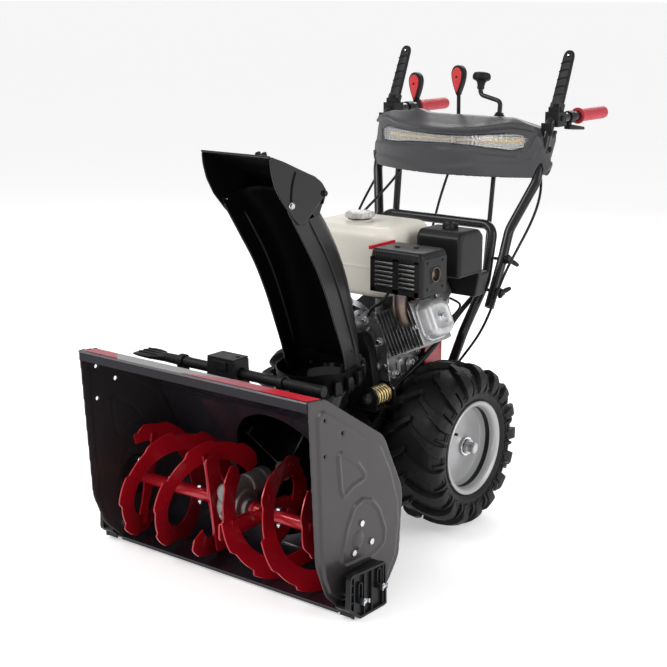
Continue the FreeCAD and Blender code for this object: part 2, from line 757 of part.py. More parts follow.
def clean_out_tool():
    shank = rod((-250, TOOL_Y, TOOL_Z), (236, TOOL_Y, TOOL_Z), 13.0)
    blade = slab([(-316, TOOL_Y - 34), (-276, TOOL_Y - 36), (-236, TOOL_Y - 13), (-236, TOOL_Y + 13),
                  (-276, TOOL_Y + 36), (-316, TOOL_Y + 30)], 5, "XY", TOOL_Z - 6, TOOL_Z + 6)
    rib = box(-310, -236, TOOL_Y - 3, TOOL_Y + 3, TOOL_Z, TOOL_Z + 12)
    return fuse([shank, blade, rib])


def tool_clips():
    """Two ring clips and a box clip that hold the tool on the housing."""
    slope = math.atan2(360 - 490, -453 + 656)
    found = []
    for x, w, square in ((-180, 16, False), (-40, 84, True), (120, 18, False)):
        if square:
            body = slab([(TOOL_Y - 30, TOOL_Z - 80), (TOOL_Y + 30, TOOL_Z - 80), (TOOL_Y + 24, TOOL_Z + 34),
                         (TOOL_Y - 24, TOOL_Z + 34)], 5, "YZ", x - w / 2, x + w / 2)
        else:
            body = fuse([rod((x - w / 2, TOOL_Y, TOOL_Z), (x + w / 2, TOOL_Y, TOOL_Z), 17),
                         box(x - w / 2, x + w / 2, TOOL_Y - 14, TOOL_Y + 14, TOOL_Z - 80, TOOL_Z - 10)])
        hole = rod((x - w, TOOL_Y, TOOL_Z), (x + w, TOOL_Y, TOOL_Z), 13.4)
        found.append(body.cut(hole))
    under = Part.makeBox(800, 500, 200, Vector(-400, -200, -200))
    under.rotate(Vector(0, 0, 0), X, math.degrees(slope))
    under.translate(Vector(0, -656, 490))
    return [c.cut(under) for c in found]


# ---------------------------------------------------------------------------
# Tractor frame, axle and wheels
# ---------------------------------------------------------------------------
def tractor_frame():
    """Folded box between the wheels: two sides, deck, cross wall and back."""
    sides = []
    for s in (-1, 1):
        x0 = FRAME_HALF_X - FRAME_T if s > 0 else -FRAME_HALF_X
        sides.append(slab([(FRAME_FRONT_Y, 130), (-170, FRAME_Z0), (FRAME_REAR_Y, FRAME_Z0),
                           (FRAME_REAR_Y, FRAME_Z1), (FRAME_MID_Y, FRAME_Z1), (-150, 310),
                           (FRAME_FRONT_Y, 280)], [4, 10, 14, 10, 8, 8, 8], "YZ", x0, x0 + FRAME_T))
    inner = FRAME_HALF_X - FRAME_T
    deck = box(-inner, inner, FRAME_MID_Y, FRAME_REAR_Y, FRAME_Z1 - FRAME_T, FRAME_Z1)
    wall = box(-inner, inner, FRAME_MID_Y, FRAME_MID_Y + FRAME_T, FRAME_Z0, FRAME_Z1)
    back = box(-inner, inner, FRAME_REAR_Y - FRAME_T, FRAME_REAR_Y, FRAME_Z0 + 14, FRAME_Z1 - 10)
    tools = [rod((-200, 0, AXLE_Z), (200, 0, AXLE_Z), 20),
             rod((-200, HEX_Y, DISC_Z), (200, HEX_Y, DISC_Z), 8.0 + RUN_GAP),
             rod((0, -160, IMP_Z), (0, -80, IMP_Z), IMP_SHAFT_R + 1.5),
             rod((0, -160, DISC_Z), (0, -80, DISC_Z), 10.0 + RUN_GAP)]
    return cut(fuse(sides + [deck, wall, back]), tools)


def bottom_cover():
    inner = FRAME_HALF_X - FRAME_T
    return box(-inner, inner, FRAME_MID_Y, FRAME_REAR_Y - FRAME_T, FRAME_Z0 - 2, FRAME_Z0)


def belt_cover():
    """Hollow cover over the belts in front of the engine."""
    line = [(-84, 300), (84, 300), (62, 440), (36, 484), (-36, 484), (-62, 440)]
    hollow = [(-81, 299), (81, 299), (59, 439), (34, 481), (-34, 481), (-59, 439)]
    outer = slab(line, [0, 0, 20, 24, 24, 20], "XZ", -138, -109)
    inner = slab(hollow, [0, 0, 18, 22, 22, 18], "XZ", -135.6, -100)
    skirt = box(-FRAME_HALF_X + FRAME_T, FRAME_HALF_X - FRAME_T, -150, -109, 296, 300)
    return cut(fuse([outer, skirt]), [inner, box(-81, 81, -136, -100, 290, 305)])


def axle():
    """Live axle with its two end washers."""
    bar = rod((-285, 0, AXLE_Z), (285, 0, AXLE_Z), AXLE_R)
    ends = []
    for s in (-1, 1):
        ends.append(rod((s * 262, 0, AXLE_Z), (s * 268, 0, AXLE_Z), 18))
        ends.append(rod((s * 262, 0, AXLE_Z), (s * 283, 0, AXLE_Z), 13))
    return fuse([bar] + ends)


def axle_bearing():
    """Flanged bearing of the axle on a frame side."""
    flange = rod((FRAME_HALF_X, 0, AXLE_Z), (FRAME_HALF_X + 4, 0, AXLE_Z), 34)
    neck = rod((FRAME_HALF_X - 8, 0, AXLE_Z), (FRAME_HALF_X + 4, 0, AXLE_Z), 19.9)
    return cut(fuse([flange, neck]), [rod((90, 0, AXLE_Z), (150, 0, AXLE_Z), AXLE_R + RUN_GAP)])


def rim():
    """Pressed steel rim with a dished centre and a hub tube."""
    section = [(RIM_FLANGE_R, 134), (RIM_FLANGE_R, 136.5), (RIM_SEAT_R, 139), (RIM_SEAT_R, 190), (92, 200),
               (92, 226), (RIM_SEAT_R, 236), (RIM_SEAT_R, 279), (RIM_FLANGE_R, 281.5), (RIM_FLANGE_R, 284),
               (98.5, 281.5), (98.5, 238), (89.5, 228), (84, 232), (74, 252), (60, 256), (34, 250), (28, 258),
               (28, 262), (AXLE_R, 262), (AXLE_R, 168), (20, 168), (20, 244), (34, 246.5), (60, 252.5),
               (72, 249), (82, 229), (89.5, 224), (89.5, 199), (98.5, 189), (98.5, 137)]
    whole = turned([(r, h) for r, h in section], (0, 0, AXLE_Z), (1, 0, 0))
    valve = rod((240, 0, AXLE_Z + 68), (262, 0, AXLE_Z + 68), 7.5)
    return whole.cut(valve)


def tyre():
    """Tyre body between the rim seats and the tread crown."""
    section = [(RIM_SEAT_R + 0.05, 139.2), (RIM_FLANGE_R, 137), (RIM_FLANGE_R + 12, 129), (150, 125),
               (174, 126), (192, 136), (200, 156), (TYRE_R, 190), (TYRE_R, 225), (200, 259), (192, 279),
               (174, 289), (150, 290), (RIM_FLANGE_R + 12, 286), (RIM_FLANGE_R, 281), (RIM_SEAT_R + 0.05, 278.8),
               (RIM_SEAT_R + 0.05, 264), (112, 258), (150, 272), (176, 268), (188, 240), (190, 207), (188, 175),
               (176, 147), (150, 143), (112, 157), (RIM_SEAT_R + 0.05, 152)]
    return turned(section, (0, 0, AXLE_Z), (1, 0, 0))


# ---------------------------------------------------------------------------
# Drive line inside the frame
# ---------------------------------------------------------------------------
def pulley(x, z, r, y0, y1, bore):
    """Single groove pulley with its axis along Y."""
    mid = (y0 + y1) / 2
    section = [(bore, y0 + 0.4), (r, y0 + 0.4), (r, y0 + 1.4), (r - 9, mid - 2.2), (r - 9, mid + 2.2),
               (r, y1 - 1.4), (r, y1 - 0.4), (bore, y1 - 0.4)]
    return turned([(a, b) for a, b in section], (x, 0, z), (0, 1, 0))


def belt(z_top, r_top, z_low, r_low, y0, y1):
    """A flat sided loop that runs just clear of its two pulleys' grooves."""
    mid = (y0 + y1) / 2
    gap = 0.4
    inner_top = r_top - 9 + gap
    inner_low = r_low - 9 + gap
    loops = []
    for grow in (0.0, 6.0):
        a = inner_top + grow
        b = inner_low + grow
        d = z_top - z_low
        t = math.asin((b - a) / d)
        pa = (a * math.cos(t), z_top + a * math.sin(t))
        pb = (b * math.cos(t), z_low + b * math.sin(t))
        y = mid - 1.8
        edges = [Part.LineSegment(Vector(pa[0], y, pa[1]), Vector(pb[0], y, pb[1])).toShape(),
                 Part.Arc(Vector(pb[0], y, pb[1]), Vector(0, y, z_low - b), Vector(-pb[0], y, pb[1])).toShape(),
                 Part.LineSegment(Vector(-pb[0], y, pb[1]), Vector(-pa[0], y, pa[1])).toShape(),
                 Part.Arc(Vector(-pa[0], y, pa[1]), Vector(0, y, z_top + a), Vector(pa[0], y, pa[1])).toShape()]
        loops.append(Part.Face(Part.Wire(edges)).extrude(Y * 3.6))
    return loops[1].cut(loops[0])


def crankshaft():
    """Engine shaft with its two groove pulley."""
    shaft = rod((0, PULLEY_Y0 - 1, CRANK_Z), (0, 96, CRANK_Z), CRANK_R)
    front = pulley(0, CRANK_Z, ENGINE_PULLEY_R, PULLEY_Y0, PULLEY_MID_Y, CRANK_R - 1)
    rear = pulley(0, CRANK_Z, ENGINE_PULLEY_R, PULLEY_MID_Y, PULLEY_Y1, CRANK_R - 1)
    web = rod((0, -70, CRANK_Z), (0, -58, CRANK_Z), 40)
    second = rod((0, -40, CRANK_Z), (0, -28, CRANK_Z), 40)
    flywheel = rod((0, 56, CRANK_Z), (0, 74, CRANK_Z), 88)
    bridge = rod((0, PULLEY_Y0, CRANK_Z), (0, PULLEY_Y1, CRANK_Z), 18)
    return fuse([shaft, front, rear, web, second, flywheel, bridge])


def drive_disc():
    shaft = rod((0, PULLEY_MID_Y + 1, DISC_Z), (0, -88, DISC_Z), 10.0)
    wheel = pulley(0, DISC_Z, DISC_PULLEY_R, PULLEY_MID_Y, PULLEY_Y1, 8)
    plate = rod((0, -92, DISC_Z), (0, -84, DISC_Z), DISC_PLATE_R)
    return fuse([shaft, wheel, plate])


def hex_shaft():
    """Cross shaft that carries the friction wheel, with its pinion."""
    shaft = rod((-FRAME_HALF_X - 2, HEX_Y, DISC_Z), (FRAME_HALF_X + 2, HEX_Y, DISC_Z), 8.0)
    pinion = rod((84, HEX_Y, DISC_Z), (98, HEX_Y, DISC_Z), PINION_R)
    return fuse([shaft, pinion])


def friction_wheel():
    hub = rod((-14, HEX_Y, DISC_Z), (14, HEX_Y, DISC_Z), 14)
    wheel = rod((-5, HEX_Y, DISC_Z), (5, HEX_Y, DISC_Z), FRICTION_WHEEL_R)
    whole = fuse([hub, wheel])
    return whole.cut(rod((-30, HEX_Y, DISC_Z), (30, HEX_Y, DISC_Z), 8.0 + RUN_GAP))


def axle_gear():
    reach = math.hypot(HEX_Y, DISC_Z - AXLE_Z)
    r = reach - PINION_R - 0.5
    gear = rod((84, 0, AXLE_Z), (98, 0, AXLE_Z), r)
    hub = rod((78, 0, AXLE_Z), (104, 0, AXLE_Z), 20)
    return fuse([gear, hub]).cut(rod((60, 0, AXLE_Z), (120, 0, AXLE_Z), AXLE_R))


def impeller_pulley():
    hub = rod((0, PULLEY_Y0 - 4, IMP_Z), (0, PULLEY_MID_Y - 1, IMP_Z), 22)
    groove = pulley(0, IMP_Z, IMP_PULLEY_R, PULLEY_Y0, PULLEY_MID_Y, IMP_SHAFT_R + 2)
    return fuse([hub, groove]).cut(rod((0, -300, IMP_Z), (0, 0, IMP_Z), IMP_SHAFT_R))


# ---------------------------------------------------------------------------
# Engine
# ---------------------------------------------------------------------------
CYL_DEG = 25.0
ENGINE_Y = -58.0


def cyl_point(along, across, y):
    """A point on the tilted cylinder: along its axis, across it, and at Y = y."""
    t = math.radians(CYL_DEG)
    return Vector(along * math.cos(t) - across * math.sin(t), y, CRANK_Z + along * math.sin(t) + across * math.cos(t))


def cyl_box(a0, a1, c0, c1, y0, y1):
    """A box in the tilted cylinder's frame."""
    corners = [cyl_point(a0, c0, y0), cyl_point(a1, c0, y0), cyl_point(a1, c1, y0), cyl_point(a0, c1, y0)]
    face = Part.Face(Part.makePolygon(corners + [corners[0]]))
    return face.extrude(Y * (y1 - y0))


CASE_LINE = [(-100, 300), (100, 300), (104, 330), (92, 420), (96, 500), (20, 520), (-70, 505), (-98, 440),
             (-104, 330)]
CASE_RADII = [3, 3, 10, 20, 20, 30, 30, 30, 10]


def case_outer():
    return slab(CASE_LINE, CASE_RADII, "XZ", -105, 22)


def crankcase():
    """Crankcase, hollow round the crank, with its feet and drain boss."""
    outer = case_outer()
    boss = rod((0, -108, CRANK_Z), (0, -100, CRANK_Z), 60)
    feet = [box(x0, x0 + 26, -104, 30, 300, 308) for x0 in (-114, 88)]
    hollow = rod((0, -92, CRANK_Z), (0, 10, CRANK_Z), 52)
    bores = [rod((0, -120, CRANK_Z), (0, 40, CRANK_Z), CRANK_R + RUN_GAP)]
    drain = rod((60, -108, 325), (60, -100, 325), 9)
    return cut(fuse([outer, boss, drain] + feet), [hollow] + bores)


def cylinder_block():
    """Tilted cylinder and head with cooling fins."""
    core = cyl_box(84, 226, -40, 40, ENGINE_Y - 44, ENGINE_Y + 44)
    fins = []
    for i in range(11):
        a = 98 + i * 10.5
        fins.append(cyl_box(a, a + 3, -58, 58, ENGINE_Y - 62, ENGINE_Y + 62))
    flange = cyl_box(222, 238, -54, 54, ENGINE_Y - 76, ENGINE_Y + 76)
    return fuse([core, flange] + fins).cut(case_outer())


def valve_cover():
    base = cyl_box(238.2, 256, -52, 52, ENGINE_Y - 84, ENGINE_Y + 84)
    top = cyl_box(254, 276, -42, 42, ENGINE_Y - 72, ENGINE_Y + 72)
    whole = fuse([base, top])
    long_edges = [e for e in whole.Edges if e.Length < 30]
    whole = whole.makeFillet(8, long_edges) if long_edges else whole
    nut = Part.makeCylinder(7, 9, cyl_point(275, 0, ENGINE_Y), cyl_point(1, 0, 0) - cyl_point(0, 0, 0))
    return fuse([whole, nut])


def muffler():
    """Muffler can inside its guard and the pipe down to the cylinder head."""
    can = slab([(-172, 606), (-78, 606), (-78, 698), (-172, 698)], 22, "YZ", 98, 232)
    pipe = tube([(178, -140, 612), (178, -160, 570), (176, -126, 545)], [0, 14, 0], 13)
    outlet = rod((228, -125, 655), (239, -125, 655), 17)
    bore = rod((231, -125, 655), (245, -125, 655), 13)
    block = cyl_box(80, 240, -60, 60, ENGINE_Y - 64, ENGINE_Y + 64)
    return fuse([can, pipe, outlet]).cut(bore).cut(block)


def muffler_guard():
    """Louvred box round the muffler."""
    outer = slab([(-180, 599), (-70, 599), (-70, 706), (-180, 706)], 14, "YZ", 92, 240)
    inner = slab([(-177, 602), (-73, 602), (-73, 703), (-177, 703)], 12, "YZ", 95, 237)
    tools = [inner, rod((230, -125, 655), (250, -125, 655), 20), box(150, 206, -176, -110, 590, 606)]
    for i in range(3):
        for j in range(6):
            x = 106 + j * 21
            z = 620 + i * 26
            tools.append(box(x, x + 13, -185, -170, z, z + 14))
            tools.append(box(x, x + 13, -160 + i * 26, -148 + i * 26, 700, 710))
    for i in range(4):
        for z in (615, 633, 680):
            tools.append(box(230, 245, -170 + i * 25, -156 + i * 25, z, z + 8))
    return cut(outer, tools)


def carburettor():
    body = box(120, 176, 18, 66, 566, 606)
    throat = rod((150, 42, 600), (150, 42, 622), 18)
    bowl = rod((150, 42, 540), (150, 42, 570), 19)
    return fuse([body, throat, bowl])


def air_cleaner():
    """Air cleaner box with its cover."""
    cover = slab([(-24, 622), (84, 622), (84, 716), (66, 733), (-10, 733), (-24, 718)], [6, 6, 12, 14, 14, 12],
                 "YZ", 114, 242)
    edges = [e for e in cover.Edges if e.BoundBox.XMin > 241 or e.BoundBox.XMax < 115]
    cover = cover.makeFillet(8, edges)
    knob = rod((178, 30, 733), (178, 30, 746), 11)
    base = slab([(118, 560), (226, 560), (238, 622), (114, 622)], 6, "XZ", 72, 118)
    return fuse([cover, knob, base])


def fuel_tank():
    """Rounded tank with its filler neck."""
    block = box(-180, 88, -110, 110, 566, 735)
    uprights = [e for e in block.Edges if abs(e.BoundBox.ZLength) > 100]
    block = block.makeFillet(52, uprights)
    tops = [e for e in block.Edges if e.BoundBox.ZMin > 730]
    block = block.makeFillet(30, tops)
    lows = [e for e in block.Edges if e.BoundBox.ZMax < 570]
    block = block.makeFillet(16, lows)
    neck = rod((-50, -30, 730), (-50, -30, 744), 27)
    return fuse([block, neck])


def fuel_cap():
    cap = rod((-50, -30, 744.4), (-50, -30, 760), 33)
    lobes = []
    for i in range(8):
        a = i * PI / 4
        lobes.append(rod((-50 + 30 * math.cos(a), -30 + 30 * math.sin(a), 744.4),
                         (-50 + 30 * math.cos(a), -30 + 30 * math.sin(a), 758), 8))
    return fuse([cap] + lobes)


def tank_stand():
    """Brackets between the crankcase and the tank."""
    legs = []
    for x in (-120, 40):
        for y in (-70, 8):
            legs.append(box(x - 10, x + 10, y - 3, y + 3, 500 if x > 0 else 430, 566))
    rail = [box(-130, 50, y - 12, y + 12, 562, 566) for y in (-70, 8)]
    shelf = box(-132, -96, -74, 12, 428, 434)
    return fuse(legs + rail + [shelf]).cut(case_outer())


def fan_shroud():
    """Red cover of the cooling fan at the engine's rear."""
    line = [(-114, 340), (-92, 308), (92, 308), (114, 340), (114, 462), (126, 500), (80, 552), (-60, 552),
            (-122, 500)]
    inner = [(-111, 341), (-91, 311), (91, 311), (111, 341), (111, 463), (123, 499), (78, 549), (-58, 549),
             (-119, 499)]
    outer = slab(line, [20, 18, 18, 20, 20, 20, 40, 40, 40], "XZ", 24, 100)
    hollow = slab(inner, [17, 15, 15, 17, 17, 17, 37, 37, 37], "XZ", 20, 97)
    return cut(outer, [hollow, rod((0, 90, CRANK_Z), (0, 110, CRANK_Z), 80)])


def recoil_cover():
    """Cover of the pull starter."""
    drum = rod((0, 100, CRANK_Z), (0, 142, CRANK_Z), 92)
    edges = [e for e in drum.Edges if e.BoundBox.YMin > 141]
    drum = drum.makeFillet(16, edges)
    hollow = rod((0, 99, CRANK_Z), (0, 138, CRANK_Z), 76)
    horn = box(-120, -70, 108, 132, CRANK_Z + 38, CRANK_Z + 62)
    channel = rod((-150, 120, CRANK_Z + 50), (-30, 120, CRANK_Z + 50), 4.0)
    return fuse([drum, horn]).cut(fuse([hollow, channel]))


def recoil_grip():
    """Pull grip with the straight start of its rope."""
    grip = box(-146, -121, 106, 134, CRANK_Z + 36, CRANK_Z + 64)
    grip = grip.makeFillet(5, grip.Edges)
    rope = rod((-125, 120, CRANK_Z + 50), (-60, 120, CRANK_Z + 50), 2.2)
    return fuse([grip, rope])


# ---------------------------------------------------------------------------
# Handles
# ---------------------------------------------------------------------------
def mirrored(point):
    return (-point[0], point[1], point[2])


LEG_POINTS = [(106, 137.6, 170), (106, 137.6, 320), (148, 148, 450), (181, 194, 574), (172, 240, 712)]


def lower_frame():
    """Inverted U of round tube that stands on the tractor frame."""
    right = LEG_POINTS
    left = [mirrored(p) for p in reversed(LEG_POINTS)]
    points = right + left
    radii = [0, 60, 90, 90, 34, 34, 90, 90, 60, 0]
    bolt_hole = rod((-240, FOLD_Y, FOLD_Z), (240, FOLD_Y, FOLD_Z), 4.05)
    return tube(points, radii, TUBE25_R, TUBE25_R - 2).cut(bolt_hole)


def upper_handle_points():
    return [(HANDLE_X, 165, 516), (HANDLE_X, 225, 636), (HANDLE_X - 6, 262, 700), (248, 313, 820),
            (252, 346, 922), (GRIP_X, 371, GRIP_Z), (GRIP_X, 643, GRIP_Z)]


def upper_handle():
    radii = [0, 70, 60, 60, 60, 24, 0]
    right = tube(upper_handle_points(), radii, TUBE25_R, TUBE25_R - 2)
    holes = [rod((190, FOLD_Y, FOLD_Z), (240, FOLD_Y, FOLD_Z), 4.05),
             rod((HANDLE_X, CLAMP_Y, CLAMP_Z), (240, CLAMP_Y, CLAMP_Z), 4.05)]
    return cut(right, holes)


def inner_tubes():
    """The upright stay under the dash."""
    return [rod((-154, 267, 690), (-154, 281, 836), 9)]


def clamp_knob(y, z, shank_x):
    """Knob with a T grip and its bolt, which starts at shank_x."""
    shank = rod((shank_x, y, z), (228, y, z), 4.0)
    hub = rod((225, y, z), (240, y, z), 9)
    wing = box(232, 246, y - 22, y + 22, z - 6, z + 6)
    wing = wing.makeFillet(4, wing.Edges)
    return fuse([shank, hub, wing])


def fold_knobs():
    """The knob on each fold pivot, and above it the knob that holds the handle upright."""
    return (both_sides(clamp_knob(FOLD_Y, FOLD_Z, 166))
            + both_sides(clamp_knob(CLAMP_Y, CLAMP_Z, HANDLE_X - 3)))


def grip(side):
    sleeve = rod((GRIP_X, 505, GRIP_Z), (GRIP_X, 650, GRIP_Z), GRIP_R)
    flange = rod((GRIP_X, 505, GRIP_Z), (GRIP_X, 511, GRIP_Z), GRIP_R + 5)
    end = rod((GRIP_X, 643.2, GRIP_Z), (GRIP_X, 651, GRIP_Z), GRIP_R)
    whole = fuse([sleeve, flange]).cut(rod((GRIP_X, 500, GRIP_Z), (GRIP_X, 643.2, GRIP_Z), TUBE25_R))
    whole = fuse([whole, end])
    return whole if side > 0 else whole.mirror(Vector(0, 0, 0), X)


PADDLE_Y = 396.0
PADDLE_Z = 1004.0
PADDLE_LEAN = 67.0           # degrees above level


def paddle_bracket():
    """Saddle on the handle tube with the pin of the clutch paddle."""
    saddle = box(GRIP_X - 17, GRIP_X + 17, PADDLE_Y - 9, PADDLE_Y + 18, GRIP_Z - 4, GRIP_Z + 15)
    tongue = box(GRIP_X - 6, GRIP_X + 6, PADDLE_Y - 9, PADDLE_Y + 9, GRIP_Z + 14, PADDLE_Z + 8)
    pin = rod((GRIP_X - 15, PADDLE_Y, PADDLE_Z), (GRIP_X + 15, PADDLE_Y, PADDLE_Z), 3.0)
    return fuse([saddle, tongue, pin]).cut(rod((GRIP_X, 360, GRIP_Z), (GRIP_X, 430, GRIP_Z), TUBE25_R))


def clutch_paddle():
    """Ribbed hand paddle that swings down on to the grip."""
    lean = PADDLE_LEAN
    line = [(-12, -9), (20, -11), (118, -13), (150, -11), (150, 11), (118, 13), (20, 11), (-12, 9)]
    plate = slab([(PADDLE_Y + a, PADDLE_Z + b * 0.62) for a, b in line], 3, "YZ", GRIP_X - 13, GRIP_X + 13)
    fork = box(GRIP_X - 6.5, GRIP_X + 6.5, PADDLE_Y - 20, PADDLE_Y + 15, PADDLE_Z - 20, PADDLE_Z + 20)
    pin = rod((GRIP_X - 20, PADDLE_Y, PADDLE_Z), (GRIP_X + 20, PADDLE_Y, PADDLE_Z), 3.0 + RUN_GAP)
    eye = rod((GRIP_X - 20, PADDLE_Y + 136, PADDLE_Z), (GRIP_X + 20, PADDLE_Y + 136, PADDLE_Z), 3.5)
    whole = cut(plate, [fork, pin, eye])
    whole.rotate(Vector(0, PADDLE_Y, PADDLE_Z), X, lean)
    return whole


TRIGGER_Y = 462.0
TRIGGER_Z = 948.0


def trigger():
    """Steering trigger under the grip, on its pin."""
    line = [(452, 953), (470, 954), (532, 944), (534, 936), (470, 941), (452, 943)]
    body = slab(line, 2, "YZ", GRIP_X - 9, GRIP_X + 9)
    slot = box(GRIP_X - 4.6, GRIP_X + 4.6, 445, 472, 930, 960)
    pin = rod((GRIP_X - 12, TRIGGER_Y, TRIGGER_Z), (GRIP_X + 12, TRIGGER_Y, TRIGGER_Z), 2.0 + RUN_GAP)
    return cut(body, [slot, pin])


def trigger_bracket():
    """Clamp round the handle tube with the lug of the steering trigger."""
    clamp = rod((GRIP_X, 452, GRIP_Z), (GRIP_X, 474, GRIP_Z), TUBE25_R + 3.5)
    lug = box(GRIP_X - 4, GRIP_X + 4, 454, 469, TRIGGER_Z - 4, GRIP_Z - 12)
    pin = rod((GRIP_X - 8.5, TRIGGER_Y, TRIGGER_Z), (GRIP_X + 8.5, TRIGGER_Y, TRIGGER_Z), 2.0)
    return fuse([clamp, lug, pin]).cut(rod((GRIP_X, 440, GRIP_Z), (GRIP_X, 490, GRIP_Z), TUBE25_R))


# ---------------------------------------------------------------------------
# Dash
# ---------------------------------------------------------------------------
def dash_plan(inset):
    """Plan outline with a bowed front, pushed through the dash's height."""
    front = 222.0 + inset
    side = 274.0 - inset
    points = [Vector(-side, 330 + inset, 700), Vector(0, front, 700), Vector(side, 330 + inset, 700)]
    back = [(side, 346), (233 - inset, 374), (232 - inset, 440 - inset), (-232 + inset, 440 - inset),
            (-233 + inset, 374), (-side, 346)]
    edges = [Part.Arc(*points).toShape()]
    chain = [points[2]] + [Vector(a, b, 700) for a, b in back] + [points[0]]
    for a, b in zip(chain, chain[1:]):
        edges.append(Part.LineSegment(a, b).toShape())
    return Part.Face(Part.Wire(edges)).extrude(Z * 400)


def dash_side(inset, bottom):
    line = [(190, 872), (190, 936 - inset), (296, DASH_Z1 - inset), (460, DASH_Z1 - inset), (460, 950),
            (400, bottom), (262 + inset, bottom)]
    profile = slab(line, [0, 0, 30, 0, 0, 0, 0], "YZ", -300, 300)
    face = [(-280 + inset, bottom), (-276 + inset, 852), (-258 + inset, 916), (-234 + inset, DASH_Z1 + 20),
            (234 - inset, DASH_Z1 + 20), (258 - inset, 916), (276 - inset, 852), (280 - inset, bottom)]
    return profile.common(slab(face, [0, 20, 60, 0, 0, 60, 20, 0], "XZ", 150, 480))


LEVER_SLOTS = ((0.0, 300.0, 360.0), (-120.0, 300.0, 360.0))


def dash():
    """Hollow console, open underneath, with the lamp recess and lever slots."""
    outer = dash_plan(0).common(dash_side(0, DASH_Z0))
    inner = dash_plan(DASH_WALL).common(dash_side(DASH_WALL, DASH_Z0 - 30))
    tools = [inner, lens_block(0.4)]
    for x, y0, y1 in LEVER_SLOTS:
        tools.append(box(x - 8, x + 8, y0, y1, 970, 1000))
    tools.append(crank_rod_hole())
    for s in (-1, 1):
        pts = [(s * p[0], p[1], p[2]) for p in upper_handle_points()[3:]]
        tools.append(tube(pts, [0, 60, 24, 0], TUBE25_R + 0.5))
    return cut(outer, tools)


def bowed_strip(near, far, z0, z1):
    """A strip that follows the bowed front, between two depths behind it."""
    plan = []
    for inset in (near, far):
        points = [Vector(-274, 330 + inset, z0), Vector(0, 222 + inset, z0), Vector(274, 330 + inset, z0)]
        plan.append(Part.Arc(*points).toShape())
    a, b = plan
    caps = [Part.LineSegment(a.Vertexes[i].Point, b.Vertexes[i].Point).toShape() for i in (0, 1)]
    face = Part.Face(Part.Wire(Part.__sortEdges__([a, b] + caps)))
    return face.extrude(Z * (z1 - z0))


def lens_block(grow):
    """The space of the lamp lens: a bowed strip across the front."""
    strip = bowed_strip(-1.0, 10.0, 898 - grow, 932 + grow)
    return strip.common(box(-222 - grow, 222 + grow, 180, 360, 850, 980))


def lens():
    return lens_block(0.0)


def lamp_bar():
    """Bowed strip of small lamps behind the lens."""
    return bowed_strip(13.0, 17.0, 903, 927).common(box(-205, 205, 180, 360, 850, 980))


# ---------------------------------------------------------------------------
# Levers and crank
# ---------------------------------------------------------------------------
LEVER_PIVOT_Z = 930.0
LEVER_Y = 330.0


def lever_post(x):
    """Fixed bracket with the pin of a dash lever."""
    post = box(x + 9, x + 12, LEVER_Y - 10, LEVER_Y + 10, LEVER_PIVOT_Z - 10, DASH_Z1 - DASH_WALL)
    pin = rod((x - 9, LEVER_Y, LEVER_PIVOT_Z), (x + 10, LEVER_Y, LEVER_PIVOT_Z), 4.0)
    return fuse([post, pin])


def dash_lever(x, knob_x, knob_z):
    """Flat lever with a teardrop knob."""
    hub = rod((x - 5, LEVER_Y, LEVER_PIVOT_Z), (x + 5, LEVER_Y, LEVER_PIVOT_Z), 11)
    stem = tube([(x, LEVER_Y, LEVER_PIVOT_Z + 6), (x, LEVER_Y, 985), (knob_x, LEVER_Y, knob_z - 18)],
                [0, 20, 0], 4.0)
    section = [(0, -20), (7, -20), (9, -10), (15, 4), (17, 14), (15, 22), (9, 28), (0, 29)]
    knob = turned(section, (knob_x, LEVER_Y, knob_z), (0, 0, 1))
    whole = fuse([hub, stem, knob])
    return whole.cut(rod((x - 20, LEVER_Y, LEVER_PIVOT_Z), (x + 20, LEVER_Y, LEVER_PIVOT_Z), 4.0 + RUN_GAP))


ROD_LOW = (152.0, 232.0, 566.0)
ROD_TOP = (126.0, 330.0, 1004.0)


def crank_rod_hole():
    a = Vector(*ROD_LOW)
    b = Vector(*ROD_TOP)
    return Part.makeCylinder(9.0, (b - a).Length + 60, a, b - a)


def crank_rod():
    """Straight rod from the coupling to the crank, with the crank arm."""
    a = Vector(*ROD_LOW)
    b = Vector(*ROD_TOP)
    along = (b - a).normalize()
    tip = b + along * 12
    elbow = tip + Vector(-62, 0, 14)
    post = elbow + along * 42
    bar = rod(tuple(a), tuple(tip), 6.0)
    arm_bar = rod(tuple(tip), tuple(elbow), 6.0)
    joint = [Part.makeSphere(6.0, tip), Part.makeSphere(6.0, elbow)]
    pin = rod(tuple(elbow), tuple(post), 4.0)
    cup = rod(tuple(a), tuple(a + along * 26), 10.0)
    boot = rod(tuple(b - along * 4), tuple(b + along * 6), 8.5)
    return fuse([bar, arm_bar, pin, cup, boot] + joint)


def crank_knob():
    a = Vector(*ROD_LOW)
    b = Vector(*ROD_TOP)
    along = (b - a).normalize()
    base = b + along * 12 + Vector(-62, 0, 14) + along * 14
    section = [(4.05, 0), (9, 0), (8, 14), (12, 20), (19, 27), (19, 36), (12, 42), (0, 43), (0, 28), (4.05, 28)]
    return turned(section, tuple(base), tuple(along))


def crank_sheath():
    """Flexible shaft from the coil's coupling up to the rod's coupling."""
    start = (WORM_X, WORM_Y + 61, WORM_Z)
    a = Vector(*ROD_LOW)
    b = Vector(*ROD_TOP)
    along = (b - a).normalize()
    end = a - along * 2
    before = a - along * 40
    points = [start, (WORM_X - 12, -78, 366), (WORM_X - 3, 6, 406), (127, 88, 448), (128, 166, 500),
              tuple(before), tuple(end)]
    return cable("crank_sheath", points, 7.0)


